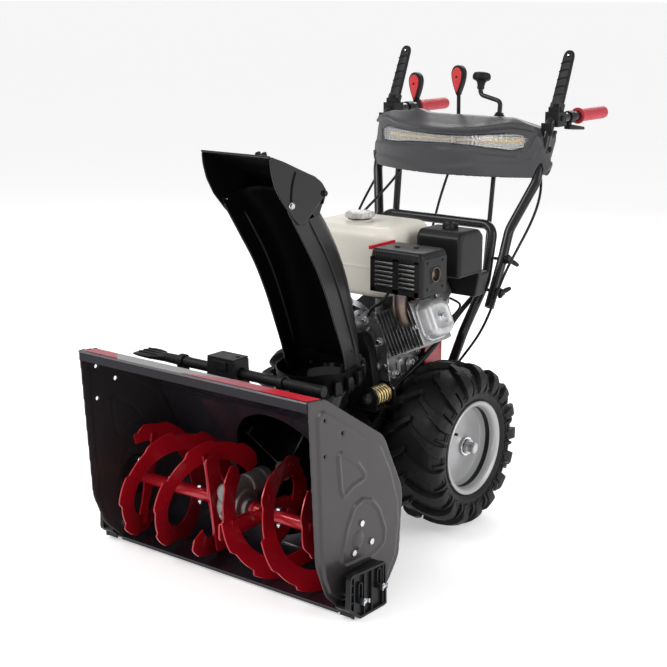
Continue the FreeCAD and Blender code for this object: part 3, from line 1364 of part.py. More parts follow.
# ---------------------------------------------------------------------------
# Cables
# ---------------------------------------------------------------------------
CABLE_R = 3.5
SIDE_CABLE = [(226, 352, 886), (256, 338, 812), (268, 280, 740), (262, 214, 670), (250, 164, 604),
              (240, 134, 530), (202, 152, 462), (148, 182, 400), (100, 172, 334), (74, 150, 276), (66, 129, 224)]
CABLES = {
    "drive": SIDE_CABLE,
    "auger": [(-x, y, z) for x, y, z in SIDE_CABLE],
    "speed": [(0, 336, 905), (-14, 312, 830), (-26, 284, 752), (-32, 266, 682), (-38, 240, 606),
              (-42, 214, 530), (-42, 192, 450), (-40, 170, 372), (-36, 150, 304), (-30, 129, 240)],
    "deflector": [(-120, 300, 890), (-134, 258, 820), (-172, 208, 756), (-206, 140, 690), (-212, 60, 630),
                  (-198, -24, 580), (-174, -100, 520), (-150, -166, 452), (-136, -214, 384), (-128, -240, 320),
                  (-124, -246, 284)],
}


# ---------------------------------------------------------------------------
# Build
# ---------------------------------------------------------------------------
def build_housing():
    save("housing_shell", housing_shell())
    save("side_plates", Part.makeCompound(both_sides(side_plate())))
    save("scraper_bar", scraper_bar())
    left, right = both_sides(skid_shoe())
    save("skid_shoe_left", left)
    save("skid_shoe_right", right)
    bolts = []
    for b in skid_bolts() + bearing_bolts():
        bolts += both_sides(b)
    save("housing_bolts", Part.makeCompound(bolts))
    bearings = list(both_sides(auger_bearing())) + list(both_sides(axle_bearing())) + [drum_bearing()]
    save("bearings", Part.makeCompound(bearings))


def build_auger():
    save("auger_shaft", fuse([auger_shaft(), worm_wheel()]))
    save("auger_left", auger(1))
    save("auger_right", auger(-1))
    save("shear_bolts", Part.makeCompound(shear_bolts()))
    save("gearbox_case", gearbox_case())
    save("impeller_shaft", fuse([impeller_shaft(), impeller_pulley()]))
    save("impeller", impeller())
    save("impeller_drum", fuse([impeller_drum(), worm_bracket()]))


def build_chute():
    save("chute_ring", chute_ring())
    save("chute", chute())
    save("deflector", deflector())
    save("hinge_bolts", Part.makeCompound(hinge_bolts()))
    save("worm_coil", worm_coil())
    save("clean_out_tool", clean_out_tool())
    save("tool_clips", Part.makeCompound(tool_clips()))


def build_tractor():
    save("tractor_frame", Part.makeCompound([tractor_frame(), bottom_cover()]))
    save("belt_cover", belt_cover())
    save("axle", fuse([axle(), axle_gear()]))
    save("rims", Part.makeCompound(both_sides(rim())))
    save("tyres", Part.makeCompound(both_sides(tyre())))
    save("drive_disc", drive_disc())
    save("hex_shaft", hex_shaft())
    save("friction_wheel", friction_wheel())
    auger_belt = belt(CRANK_Z, ENGINE_PULLEY_R, IMP_Z, IMP_PULLEY_R, PULLEY_Y0, PULLEY_MID_Y)
    drive_belt = belt(CRANK_Z, ENGINE_PULLEY_R, DISC_Z, DISC_PULLEY_R, PULLEY_MID_Y, PULLEY_Y1)
    save("belts", Part.makeCompound([auger_belt, drive_belt]))


def build_engine():
    save("crankshaft", crankshaft())
    save("engine_block", fuse([crankcase(), cylinder_block(), carburettor(), tank_stand()]))
    save("valve_cover", valve_cover())
    save("muffler", muffler())
    save("muffler_guard", muffler_guard())
    save("air_cleaner", air_cleaner())
    save("fuel_tank", fuel_tank())
    save("fuel_cap", fuel_cap())
    save("fan_shroud", fan_shroud())
    save("recoil_cover", recoil_cover())
    save("recoil_grip", recoil_grip())


def build_handles():
    save("lower_frame", lower_frame())
    save("upper_handle", Part.makeCompound(list(both_sides(upper_handle())) + inner_tubes()))
    save("fold_knobs", Part.makeCompound(fold_knobs()))
    save("grips", Part.makeCompound([grip(1), grip(-1)]))
    brackets = list(both_sides(paddle_bracket())) + list(both_sides(trigger_bracket()))
    brackets += [lever_post(0.0), lever_post(-120.0)]
    save("lever_brackets", Part.makeCompound(brackets))
    left, right = both_sides(clutch_paddle())
    save("paddle_left", left)
    save("paddle_right", right)
    left, right = both_sides(trigger())
    save("trigger_left", left)
    save("trigger_right", right)
    save("dash", dash())
    save("lens", lens())
    save("lamp_bar", lamp_bar())
    save("speed_lever", dash_lever(0.0, -1.0, 1070.0))
    save("deflector_lever", dash_lever(-120.0, -136.0, 1047.0))
    save("crank_rod", crank_rod())
    save("crank_knob", crank_knob())
    save("crank_sheath", crank_sheath())
    save("cables", Part.makeCompound([cable(name, points, CABLE_R) for name, points in CABLES.items()]))


build_housing()
build_auger()
build_chute()
build_tractor()
build_engine()
build_handles()
print(len(saved), "nodes")
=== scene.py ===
from math import atan2, copysign, cos, exp, hypot, pi as PI, radians, sin, tan

import bmesh
import bpy
from mathutils import Matrix, Vector


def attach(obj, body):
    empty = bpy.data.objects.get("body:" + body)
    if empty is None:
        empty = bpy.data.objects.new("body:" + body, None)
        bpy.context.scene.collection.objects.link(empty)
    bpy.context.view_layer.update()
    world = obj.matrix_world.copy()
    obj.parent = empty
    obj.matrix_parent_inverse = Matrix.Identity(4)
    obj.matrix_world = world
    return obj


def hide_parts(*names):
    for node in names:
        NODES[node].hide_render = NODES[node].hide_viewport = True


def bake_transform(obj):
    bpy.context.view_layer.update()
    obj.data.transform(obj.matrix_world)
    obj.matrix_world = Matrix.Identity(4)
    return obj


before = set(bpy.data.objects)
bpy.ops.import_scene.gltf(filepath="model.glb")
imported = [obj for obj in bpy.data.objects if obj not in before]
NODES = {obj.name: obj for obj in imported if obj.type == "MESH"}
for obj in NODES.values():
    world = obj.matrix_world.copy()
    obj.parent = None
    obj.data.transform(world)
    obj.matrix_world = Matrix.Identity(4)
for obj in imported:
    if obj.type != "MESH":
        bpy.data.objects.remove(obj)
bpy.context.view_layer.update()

# Pieces are drawn in millimetres in the design frame: Z = 0 is the ground, Y = 0 the wheel axle.
SHIFT_Y = 31.0
FLAT_ANGLE = radians(32)
# A move too small to see, which keeps the points of a shrunk outline apart.
TINY = 1e-4


# ---- Materials ----
def scaled(color, factor):
    """The colour made lighter or darker, with an alpha of one."""
    return tuple(min(1.0, c * factor) for c in color) + (1.0,)


def noise_node(tree, source, scale, detail=3.0, stretch=(1, 1, 1)):
    """A noise texture over the given coordinates."""
    mapping = tree.nodes.new("ShaderNodeMapping")
    mapping.inputs["Scale"].default_value = stretch
    tree.links.new(source, mapping.inputs["Vector"])
    noise = tree.nodes.new("ShaderNodeTexNoise")
    noise.inputs["Scale"].default_value = scale
    noise.inputs["Detail"].default_value = detail
    tree.links.new(mapping.outputs["Vector"], noise.inputs["Vector"])
    return noise.outputs["Fac"]


def ramped(tree, source, low, high, to_low, to_high):
    """The source value, moved from one range to another."""
    node = tree.nodes.new("ShaderNodeMapRange")
    node.inputs["From Min"].default_value = low
    node.inputs["From Max"].default_value = high
    node.inputs["To Min"].default_value = to_low
    node.inputs["To Max"].default_value = to_high
    tree.links.new(source, node.inputs["Value"])
    return node.outputs["Result"]


def mixed(tree, factor, first, second):
    """A colour mix; first and second are colours or sockets."""
    node = tree.nodes.new("ShaderNodeMix")
    node.data_type = "RGBA"
    tree.links.new(factor, node.inputs["Factor"])
    for value, name in ((first, "A"), (second, "B")):
        socket = next(s for s in node.inputs if s.name == name and s.type == "RGBA")
        if isinstance(value, tuple):
            socket.default_value = value
        else:
            tree.links.new(value, socket)
    return next(s for s in node.outputs if s.type == "RGBA")


FLECK_SCALE = 1500.0
FLECK_GAIN = 3.2


def relief(tree, height, depth, under=None):
    """A relief from a height socket, depth in mm, on top of another relief."""
    bump = tree.nodes.new("ShaderNodeBump")
    bump.inputs["Distance"].default_value = depth / 1000.0
    tree.links.new(height, bump.inputs["Height"])
    if under:
        tree.links.new(under, bump.inputs["Normal"])
    return bump.outputs["Normal"]


def surface(name, color, rough, metallic=0.0, coat=0.0, coat_rough=0.08, tint=0.12, tint_scale=7.0,
            rough_spread=0.06, rough_scale=45.0, grain=0.0, grain_scale=700.0, stretch=(1, 1, 1),
            flecks=0.0, second=None, second_scale=18.0, waves=None, specular=0.5):
    """A finish with uneven colour and gloss and a fine relief.

    grain is the depth of the relief in mm. flecks lightens tiny cells, as metal flakes in paint do.
    second is a colour that shows in blotches. waves is (pitch in mm, depth in mm, axis) of fine ribs.
    """
    mat = bpy.data.materials.new(name)
    mat.use_nodes = True
    tree = mat.node_tree
    shader = tree.nodes["Principled BSDF"]
    place = tree.nodes.new("ShaderNodeTexCoord").outputs["Object"]
    broad = ramped(tree, noise_node(tree, place, tint_scale, 4.0, stretch), 0.3, 0.7, 0.0, 1.0)
    shade = mixed(tree, broad, scaled(color, 1 - tint), scaled(color, 1 + tint))
    if second:
        blotch = ramped(tree, noise_node(tree, place, second_scale, 5.0), 0.5, 0.66, 0.0, 0.8)
        shade = mixed(tree, blotch, shade, scaled(second, 1.0))
    if flecks:
        cells = tree.nodes.new("ShaderNodeTexVoronoi")
        cells.inputs["Scale"].default_value = FLECK_SCALE
        tree.links.new(place, cells.inputs["Vector"])
        spark = ramped(tree, cells.outputs["Distance"], 0.1, 0.45, flecks, 0.0)
        shade = mixed(tree, spark, shade, scaled(color, FLECK_GAIN))
    tree.links.new(shade, shader.inputs["Base Color"])
    fine = noise_node(tree, place, rough_scale, 4.0, stretch)
    gloss = ramped(tree, fine, 0.25, 0.75, max(0.02, rough - rough_spread), rough + rough_spread)
    tree.links.new(gloss, shader.inputs["Roughness"])
    shader.inputs["Metallic"].default_value = metallic
    shader.inputs["Coat Weight"].default_value = coat
    shader.inputs["Coat Roughness"].default_value = coat_rough
    shader.inputs["Specular IOR Level"].default_value = specular
    normal = None
    if grain:
        normal = relief(tree, noise_node(tree, place, grain_scale, 2.0, stretch), grain)
    if waves:
        pitch, depth, axis = waves
        ribs = tree.nodes.new("ShaderNodeTexWave")
        ribs.bands_direction = axis
        ribs.inputs["Scale"].default_value = 1000.0 / pitch / 20.0 * PI
        tree.links.new(place, ribs.inputs["Vector"])
        normal = relief(tree, ribs.outputs["Fac"], depth, normal)
    if normal:
        tree.links.new(normal, shader.inputs["Normal"])
    return mat


def clear_plastic():
    """Clear lens moulding with fine upright flutes."""
    mat = surface("clear_plastic", (0.93, 0.93, 0.92), 0.07, tint=0.02, rough_spread=0.03,
                  waves=(6.0, 0.25, "X"))
    shader = mat.node_tree.nodes["Principled BSDF"]
    shader.inputs["Transmission Weight"].default_value = 0.92
    shader.inputs["IOR"].default_value = 1.35
    return mat


HOUSING = surface("housing_paint", (0.047, 0.042, 0.044), 0.36, metallic=0.5, coat=0.22, coat_rough=0.16,
                  tint=0.05, flecks=0.2, grain=0.01, grain_scale=900, specular=0.3)
SHELL = surface("shell_paint", (0.024, 0.021, 0.027), 0.24, metallic=0.2, coat=0.5, coat_rough=0.08,
                tint=0.05, rough_spread=0.02, specular=0.35)
BLACK = surface("black_paint", (0.0055, 0.0055, 0.006), 0.2, coat=0.28, coat_rough=0.07, tint=0.2,
                rough_spread=0.05, grain=0.012, grain_scale=420, specular=0.25)
TUBE_BLACK = surface("tube_black", (0.008, 0.008, 0.009), 0.26, coat=0.2, tint=0.2, grain=0.02,
                     grain_scale=500, specular=0.25)
RED = surface("auger_red", (0.36, 0.004, 0.012), 0.24, metallic=0.3, coat=0.55, coat_rough=0.07, tint=0.07,
              tint_scale=5.0, rough_spread=0.05, grain=0.008, grain_scale=420, specular=0.35)
PLASTIC = surface("black_plastic", (0.009, 0.009, 0.010), 0.44, tint=0.15, rough_spread=0.08, grain=0.05,
                  grain_scale=1400, specular=0.2)
SATIN = surface("satin_black", (0.010, 0.010, 0.011), 0.34, tint=0.15, rough_spread=0.06, grain=0.03,
                grain_scale=900, specular=0.22)
DASH = surface("dash_plastic", (0.052, 0.052, 0.056), 0.42, tint=0.05, rough_spread=0.07, grain=0.06,
               grain_scale=1500, specular=0.3)
CREAM = surface("cream_plastic", (0.76, 0.72, 0.635), 0.38, tint=0.03, rough_spread=0.06, grain=0.03,
                grain_scale=600)
GRIP = surface("grip_rubber", (0.44, 0.022, 0.038), 0.5, tint=0.08, rough_spread=0.08, grain=0.06,
               grain_scale=1100)
KNOB_RED = surface("knob_red", (0.55, 0.012, 0.016), 0.28, tint=0.06, rough_spread=0.05, grain=0.015,
                   grain_scale=500, coat=0.3)
SHROUD = surface("shroud_red", (0.36, 0.004, 0.01), 0.3, coat=0.3, tint=0.08, grain=0.02, grain_scale=400)
TYRE = surface("tyre_rubber", (0.0085, 0.0085, 0.0095), 0.5, tint=0.3, tint_scale=14, rough_spread=0.1,
               rough_scale=70, grain=0.12, grain_scale=900, specular=0.2)
RIM = surface("rim_paint", (0.40, 0.40, 0.405), 0.42, metallic=0.5, tint=0.07, rough_spread=0.07, flecks=0.1,
              grain=0.02, grain_scale=500)
STEEL = surface("bare_steel", (0.52, 0.52, 0.53), 0.3, metallic=1.0, tint=0.12, rough_spread=0.1, grain=0.02,
                grain_scale=500, stretch=(0.15, 1, 1))
BRIGHT = surface("bright_zinc", (0.66, 0.68, 0.71), 0.22, metallic=1.0, tint=0.12, tint_scale=90,
                 rough_spread=0.08, grain=0.01)
ZINC = surface("yellow_zinc", (0.74, 0.60, 0.30), 0.27, metallic=0.95, tint=0.15, tint_scale=120,
               second=(0.60, 0.52, 0.42), second_scale=90, rough_spread=0.08)
CAST = surface("cast_iron", (0.215, 0.21, 0.205), 0.42, metallic=0.75, tint=0.2, tint_scale=40, grain=0.25,
               grain_scale=420, rough_spread=0.12)
ALLOY = surface("cast_alloy", (0.50, 0.50, 0.51), 0.44, metallic=0.55, tint=0.14, tint_scale=45, grain=0.18,
                grain_scale=480, rough_spread=0.1)
DARK_ALLOY = surface("dark_alloy", (0.27, 0.27, 0.272), 0.34, metallic=0.85, tint=0.25, tint_scale=45,
                     grain=0.3, grain_scale=300, rough_spread=0.12, specular=0.3)
FIN_BLACK = surface("fin_black", (0.055, 0.055, 0.057), 0.34, metallic=0.8, tint=0.25, tint_scale=45,
                    grain=0.1, grain_scale=420, rough_spread=0.1, specular=0.3)
HEATED = surface("heated_steel", (0.20, 0.155, 0.12), 0.4, metallic=0.95, tint=0.25, tint_scale=22,
                 second=(0.10, 0.09, 0.12), second_scale=26, grain=0.05)
BELT = surface("belt_rubber", (0.02, 0.02, 0.02), 0.6, tint=0.2, grain=0.08)
CABLE = surface("cable_sleeve", (0.007, 0.007, 0.008), 0.34, tint=0.2, rough_spread=0.08, grain=0.02,
                specular=0.25)
BOARD = surface("lamp_board", (0.62, 0.58, 0.50), 0.35, tint=0.06)
AMBER = surface("lamp_amber", (0.78, 0.52, 0.22), 0.3, tint=0.1)
CLEAR = clear_plastic()
CAP_ZINC = surface("cap_zinc", (0.52, 0.51, 0.50), 0.42, metallic=0.55, tint=0.12, tint_scale=70, grain=0.03)
CHUTE_OUT = surface("chute_paint", (0.024, 0.023, 0.023), 0.36, metallic=0.3, coat=0.2, coat_rough=0.2,
                    tint=0.1, rough_spread=0.04, specular=0.3)
# Painted shade: a darker, duller copy of the black paint, for the inner faces of the chute and hood and for
# the turning collar.
SHADE_BLACK = surface("chute_inside_shade", (0.0022, 0.0022, 0.0026), 0.5, tint=0.2, rough_spread=0.04, specular=0.08)
DECAL_RED = surface("decal_red", (0.58, 0.012, 0.028), 0.4, tint=0.05, specular=0.2)
DECAL_PINK = surface("decal_pink", (0.42, 0.085, 0.11), 0.4, tint=0.05, specular=0.2)
LIP_DARK = surface("lip_dark", (0.020, 0.018, 0.022), 0.5, tint=0.06, specular=0.12)
STRIP = surface("strip_paint", (0.10, 0.095, 0.10), 0.3, metallic=0.5, coat=0.35, tint=0.05, flecks=0.2,
                specular=0.3)

NODE_LOOKS = {
    "air_cleaner": SATIN, "auger_left": RED, "auger_right": RED, "auger_shaft": STEEL, "axle": STEEL,
    "bearings": SATIN, "belt_cover": PLASTIC, "belts": BELT, "cables": CABLE, "chute": BLACK,
    "chute_ring": SATIN, "clean_out_tool": PLASTIC, "crank_knob": PLASTIC, "crank_rod": TUBE_BLACK,
    "crank_sheath": CABLE, "crankshaft": STEEL, "dash": DASH, "deflector": BLACK, "deflector_lever": PLASTIC,
    "drive_disc": STEEL, "engine_block": DARK_ALLOY, "fan_shroud": SHROUD, "fold_knobs": PLASTIC,
    "friction_wheel": BELT, "fuel_cap": BRIGHT, "fuel_tank": CREAM, "gearbox_case": CAST, "grips": GRIP,
    "hex_shaft": STEEL, "hinge_bolts": BRIGHT, "housing_bolts": BRIGHT, "housing_shell": SHELL,
    "impeller": BLACK, "impeller_drum": BLACK, "impeller_shaft": STEEL, "lamp_bar": BOARD, "lens": CLEAR,
    "lever_brackets": PLASTIC, "lower_frame": TUBE_BLACK, "muffler": HEATED, "muffler_guard": SATIN,
    "paddle_left": PLASTIC, "paddle_right": PLASTIC, "recoil_cover": SATIN, "recoil_grip": PLASTIC,
    "rims": RIM, "scraper_bar": TUBE_BLACK, "shear_bolts": BRIGHT, "side_plates": HOUSING,
    "skid_shoe_left": SATIN, "skid_shoe_right": SATIN, "speed_lever": PLASTIC, "tool_clips": PLASTIC,
    "tractor_frame": TUBE_BLACK, "trigger_left": PLASTIC, "trigger_right": PLASTIC, "tyres": TYRE,
    "upper_handle": TUBE_BLACK, "valve_cover": ALLOY, "worm_coil": ZINC,
}


def dress_nodes():
    """Gives the CAD pieces that stay as they are their own look."""
    for name, material in NODE_LOOKS.items():
        data = NODES[name].data
        data.materials.clear()
        data.materials.append(material)


# ---- Mesh helpers ----
def placed(point):
    """Design frame in mm to shared frame in metres."""
    return Vector((point[0], point[1] + SHIFT_Y, point[2])) / 1000.0


def soften(bm, angle=FLAT_ANGLE):
    """Smooth shading, with sharp edges where faces meet at a larger angle."""
    for face in bm.faces:
        face.smooth = True
    for edge in bm.edges:
        if len(edge.link_faces) == 2 and edge.calc_face_angle(0.0) > angle:
            edge.smooth = False


def piece(name, bm, material, body, stands_for=(), bevel=0.0, segments=2):
    """Turns a bmesh drawn in design millimetres into a finished piece on a body."""
    for vert in bm.verts:
        vert.co = placed(vert.co)
    bmesh.ops.remove_doubles(bm, verts=bm.verts, dist=1e-6)
    bmesh.ops.recalc_face_normals(bm, faces=bm.faces)
    soften(bm)
    mesh = bpy.data.meshes.new(name)
    bm.to_mesh(mesh)
    bm.free()
    obj = bpy.data.objects.new(name, mesh)
    bpy.context.scene.collection.objects.link(obj)
    mesh.materials.append(material)
    if bevel:
        mod = obj.modifiers.new("edges", "BEVEL")
        mod.width = bevel / 1000.0
        mod.segments = segments
        mod.limit_method = "ANGLE"
        mod.angle_limit = FLAT_ANGLE
        mod.harden_normals = True
    if body:
        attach(obj, body)
    if stands_for:
        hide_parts(*stands_for)
    return obj


def loft(bm, rings, caps=True):
    """Skins closed rings of points that have equal counts."""
    rows = [[bm.verts.new(p) for p in ring] for ring in rings]
    count = len(rows[0])
    for low, high in zip(rows, rows[1:]):
        for i in range(count):
            j = (i + 1) % count
            bm.faces.new((low[i], low[j], high[j], high[i]))
    if caps:
        bm.faces.new(list(reversed(rows[0])))
        bm.faces.new(rows[-1])


def ring_loop(bm, rings):
    """Skins rings of points and joins the last ring to the first."""
    rows = [[bm.verts.new(p) for p in ring] for ring in rings]
    count = len(rows[0])
    for k in range(len(rows)):
        low = rows[k]
        high = rows[(k + 1) % len(rows)]
        for i in range(count):
            j = (i + 1) % count
            bm.faces.new((low[i], low[j], high[j], high[i]))


def circle(r, steps):
    """Points around a circle."""
    return [(r * cos(2 * PI * i / steps), r * sin(2 * PI * i / steps)) for i in range(steps)]


def oval(wide, tall, steps):
    """Points around an ellipse."""
    return [(wide * a, tall * b) for a, b in circle(1.0, steps)]


def axes_of(direction):
    """Two unit vectors square to a direction."""
    d = Vector(direction).normalized()
    helper = Vector((0, 0, 1)) if abs(d.z) < 0.9 else Vector((1, 0, 0))
    u = d.cross(helper).normalized()
    return u, d.cross(u).normalized()


def lathe(bm, section, origin, axis, steps=48):
    """Turns a section of (radius, height) points about an axis."""
    origin = Vector(origin)
    d = Vector(axis).normalized()
    u, v = axes_of(d)
    rows = []
    for r, h in section:
        if r < 1e-4:
            rows.append([bm.verts.new(origin + d * h)])
        else:
            rows.append([bm.verts.new(origin + d * h + u * a + v * b) for a, b in circle(r, steps)])
    for low, high in zip(rows, rows[1:]):
        for i in range(steps):
            j = (i + 1) % steps
            if len(low) == 1 and len(high) == 1:
                continue
            if len(low) == 1:
                bm.faces.new((low[0], high[j], high[i]))
            elif len(high) == 1:
                bm.faces.new((low[i], low[j], high[0]))
            else:
                bm.faces.new((low[i], low[j], high[j], high[i]))


def button(bm, at, axis, r, top_r, rise, crown, steps):
    """A low round boss that narrows to top_r at its rise and stands crown high in the middle."""
    lathe(bm, [(0, 0), (r, 0), (top_r, rise), (0, crown)], at, axis, steps)


def rod(bm, a, b, r, steps=24, chamfer=0.0):
    """A round bar between two points."""
    a = Vector(a)
    b = Vector(b)
    length = (b - a).length
    c = chamfer
    if c:
        section = [(0, 0), (r - c, 0), (r, c), (r, length - c), (r - c, length), (0, length)]
    else:
        section = [(0, 0), (r, 0), (r, length), (0, length)]
    lathe(bm, section, a, b - a, steps)


def smooth_path(points, steps=8):
    """Catmull-Rom curve through the points."""
    pts = [Vector(p) for p in points]
    pts = [pts[0] * 2 - pts[1]] + pts + [pts[-1] * 2 - pts[-2]]
    out = []
    for a, b, c, d in zip(pts, pts[1:], pts[2:], pts[3:]):
        for i in range(steps):
            t = i / steps
            out.append(0.5 * ((2 * b) + (c - a) * t + (2 * a - 5 * b + 4 * c - d) * t * t
                              + (3 * b - 3 * c + d - a) * t ** 3))
    out.append(pts[-2])
    return out


def sweep(bm, path, section, up=None, scale=None):
    """Carries a section of (side, up) points along a path."""
    path = [Vector(p) for p in path]
    rings = []
    side = None
    for i, p in enumerate(path):
        ahead = path[min(i + 1, len(path) - 1)] - path[max(i - 1, 0)]
        d = ahead.normalized()
        if side is None:
            start = Vector(up) if up else axes_of(d)[0]
            side = start.cross(d).normalized() if up else start
        side = (side - d * side.dot(d)).normalized()
        top = d.cross(side).normalized()
        k = scale(i / (len(path) - 1)) if scale else 1.0
        rings.append([p + side * (a * k) + top * (b * k) for a, b in section])
    loft(bm, rings)


def pipe(bm, path, r, steps=16):
    """A round tube along a path."""
    sweep(bm, path, circle(r, steps))


def brick(bm, x0, x1, y0, y1, z0, z1, turn=None):
    """A small block; turn is a matrix applied about its centre."""
    centre = Vector(((x0 + x1) / 2, (y0 + y1) / 2, (z0 + z1) / 2))
    half = Vector(((x1 - x0) / 2, (y1 - y0) / 2, (z1 - z0) / 2))
    for vert in bmesh.ops.create_cube(bm, size=2.0)["verts"]:
        local = Vector((vert.co.x * half.x, vert.co.y * half.y, vert.co.z * half.z))
        vert.co = centre + (turn @ local if turn else local)


def on_plane(plane, a, b, depth):
    """A point from two coordinates in the YZ or XZ plane and a depth square to it."""
    if plane == "YZ":
        return Vector((depth, a, b))
    return Vector((a, depth, b))


def rounded(points, radii, steps=6):
    """A closed outline with its corners rounded."""
    out = []
    count = len(points)
    if isinstance(radii, (int, float)):
        radii = [radii] * count
    for i, (point, r) in enumerate(zip(points, radii)):
        p = Vector(point)
        before = Vector(points[i - 1]) - p
        after = Vector(points[(i + 1) % count]) - p
        if r <= 0:
            out.append(tuple(p))
            continue
        half = before.angle(after) / 2
        reach = min(r / tan(half), before.length * 0.48, after.length * 0.48)
        r_now = reach * tan(half)
        start = p + before.normalized() * reach
        end = p + after.normalized() * reach
        middle = p + (before.normalized() + after.normalized()).normalized() * (r_now / sin(half))
        for k in range(steps + 1):
            t = k / steps
            chord = start.lerp(end, t) - middle
            out.append(tuple(middle + chord.normalized() * r_now))
    return out


def prism(bm, outline, plane, start, end):
    """A plate between two depths."""
    rings = [[on_plane(plane, a, b, depth) for a, b in outline] for depth in (start, end)]
    loft(bm, rings)


def shrunk(outline, distance):
    """The outline moved inwards by a distance; its points run round once."""
    count = len(outline)
    area = sum(outline[i - 1][0] * outline[i][1] - outline[i][0] * outline[i - 1][1] for i in range(count))
    sign = 1 if area > 0 else -1
    out = []
    for i in range(count):
        p = Vector(outline[i])
        a = (p - Vector(outline[i - 1])).normalized()
        b = (Vector(outline[(i + 1) % count]) - p).normalized()
        inward = Vector((-(a + b).y, (a + b).x)) * sign
        if inward.length < 1e-9:
            out.append(tuple(p))
            continue
        inward.normalize()
        spread = max(0.4, abs(inward.dot(Vector((-a.y, a.x)))))
        out.append(tuple(p + inward * (distance / spread)))
    return out


def pillow(bm, outline, plane, start, end, edge):
    """A plate whose edge on the end side is rolled over by a fillet."""
    sign = 1 if end > start else -1
    rings = [[on_plane(plane, a, b, start) for a, b in outline]]
    for k in range(5):
        t = k / 4 * PI / 2
        inset = edge * (1 - cos(t))
        depth = end - sign * edge + sign * edge * sin(t)
        rings.append([on_plane(plane, a, b, depth) for a, b in shrunk(outline, inset + TINY)])
    loft(bm, rings)


def stepped(bm, outline, plane, levels, caps=False):
    """Skins an outline through levels of (depth, inset)."""
    loft(bm, [[on_plane(plane, a, b, depth) for a, b in shrunk(outline, inset + 0.001)]
              for depth, inset in levels], caps)


def lobed(bm, centre, radius, lobe, lobes, levels, steps):
    """A knob with lobes round its rim, skinned through levels of (height, share of the radius)."""
    rings = []
    for h, k in levels:
        ring = []
        for i in range(steps):
            t = 2 * PI * i / steps
            r = radius + lobe * cos(lobes * t)
            ring.append(centre + Vector((r * k * cos(t), r * k * sin(t), h)))
        rings.append(ring)
    loft(bm, rings)


def hex_head(bm, centre, axis, across, height):
    """A bolt head with a washer flange and a domed hexagon."""
    d = Vector(axis).normalized()
    centre = Vector(centre)
    lathe(bm, [(0, 0), (across * 0.62, 0), (across * 0.66, height * 0.12), (across * 0.62, height * 0.26),
               (0, height * 0.26)], centre, d, 28)
    u, v = axes_of(d)
    r = across / 2 / cos(PI / 6)
    rings = []
    for k, h in ((1.0, 0.2), (1.0, 0.86), (0.84, 1.0)):
        rings.append([centre + d * (height * h) + u * (a * k) + v * (b * k) for a, b in circle(r, 6)])
    loft(bm, rings)


def both(draw, name):
    """Draws the left piece and the mirrored right piece."""
    for side in (1, -1):
        draw(name + "_" + side_word(side), side)


def side_word(side):
    """Name of the side: left is +X."""
    return "left" if side > 0 else "right"


def once(side, node):
    """Names the CAD node on the left piece of a pair that shares one node."""
    return (node,) if side > 0 else ()


def mirror_x(bm, side):
    """Turns a left piece into a right one where side is negative."""
    if side < 0:
        for vert in bm.verts:
            vert.co.x = -vert.co.x
        bmesh.ops.reverse_faces(bm, faces=bm.faces)


# ---- Pieces cast from a CAD solid: remeshed, softened and shaped ----
def recast(node, name, voxel, passes, material, body, shape=None, extra=None):
    """A new piece from a copy of a CAD solid, with rolled edges, as a moulding or casting has.

    voxel is the mesh size in mm, passes the number of smoothing steps, shape a function that moves
    design points, and extra a function that draws more solids into the copy first.
    """
    source = NODES[node].data.copy()
    bm = bmesh.new()
    bm.from_mesh(source)
    bpy.data.meshes.remove(source)
    for vert in bm.verts:
        vert.co = vert.co * 1000.0 - Vector((0, SHIFT_Y, 0))
    if extra:
        extra(bm)
    work = bpy.data.meshes.new(name + "_work")
    bm.to_mesh(work)
    bm.free()
    holder = bpy.data.objects.new(name + "_work", work)
    bpy.context.scene.collection.objects.link(holder)
    mod = holder.modifiers.new("cells", "REMESH")
    mod.mode = "VOXEL"
    mod.voxel_size = voxel
    bpy.context.view_layer.update()
    graph = bpy.context.evaluated_depsgraph_get()
    made = bpy.data.meshes.new_from_object(holder.evaluated_get(graph))
    bpy.data.objects.remove(holder)
    bm = bmesh.new()
    bm.from_mesh(made)
    bpy.data.meshes.remove(made)
    for _ in range(passes):
        bmesh.ops.smooth_vert(bm, verts=bm.verts, factor=0.5, use_axis_x=True, use_axis_y=True,
                              use_axis_z=True)
    if shape:
        for vert in bm.verts:
            vert.co = shape(vert.co)
    piece(name, bm, material, body, (node,))


def step(value, low, high):
    """0 below low, 1 above high, smooth between."""
    t = min(1.0, max(0.0, (value - low) / (high - low)))
    return t * t * (3 - 2 * t)


# ---- Wheels ----
WHEEL_Z = 203.0
WHEEL_X = 207.5
CARCASS = [(0, 189), (24, 188.5), (48, 186), (63, 180.5), (72, 171), (77.5, 158), (79, 144), (76.5, 131),
           (70, 119), (62, 111), (58, 104)]
BEAD_R, BEAD_X = 100, 54
# Radius, offset and half width of the rings.
SIDEWALL_RINGS = ((150, 79.2, 2.2), (140, 78.8, 1.2), (116, 68.5, 2.0))
LUGS = 17
LUG_PITCH = 2 * PI / LUGS
# Share of the pitch, reach, slant, width, height and start of each lug in one pitch.
TREAD = ((0.0, 0.62, 0.26, 25, 14.2, 0.0), (0.5, 0.56, 0.10, 19, 14.0, 0.16),
         (0.27, 0.66, 0.02, 9, 7.0, 0.36), (0.77, 0.66, 0.02, 9, 7.0, 0.36))


def carcass_at(t):
    """(offset, radius, outward offset, outward radius) along the tyre's half section."""
    k = min(t, 0.9999) * (len(CARCASS) - 1)
    i = int(k)
    a = Vector(CARCASS[i]).lerp(Vector(CARCASS[i + 1]), k - i)
    before = Vector(CARCASS[max(0, i - 1)])
    after = Vector(CARCASS[min(len(CARCASS) - 1, i + 2)])
    d = (after - before).normalized()
    return a.x, a.y, -d.y, d.x


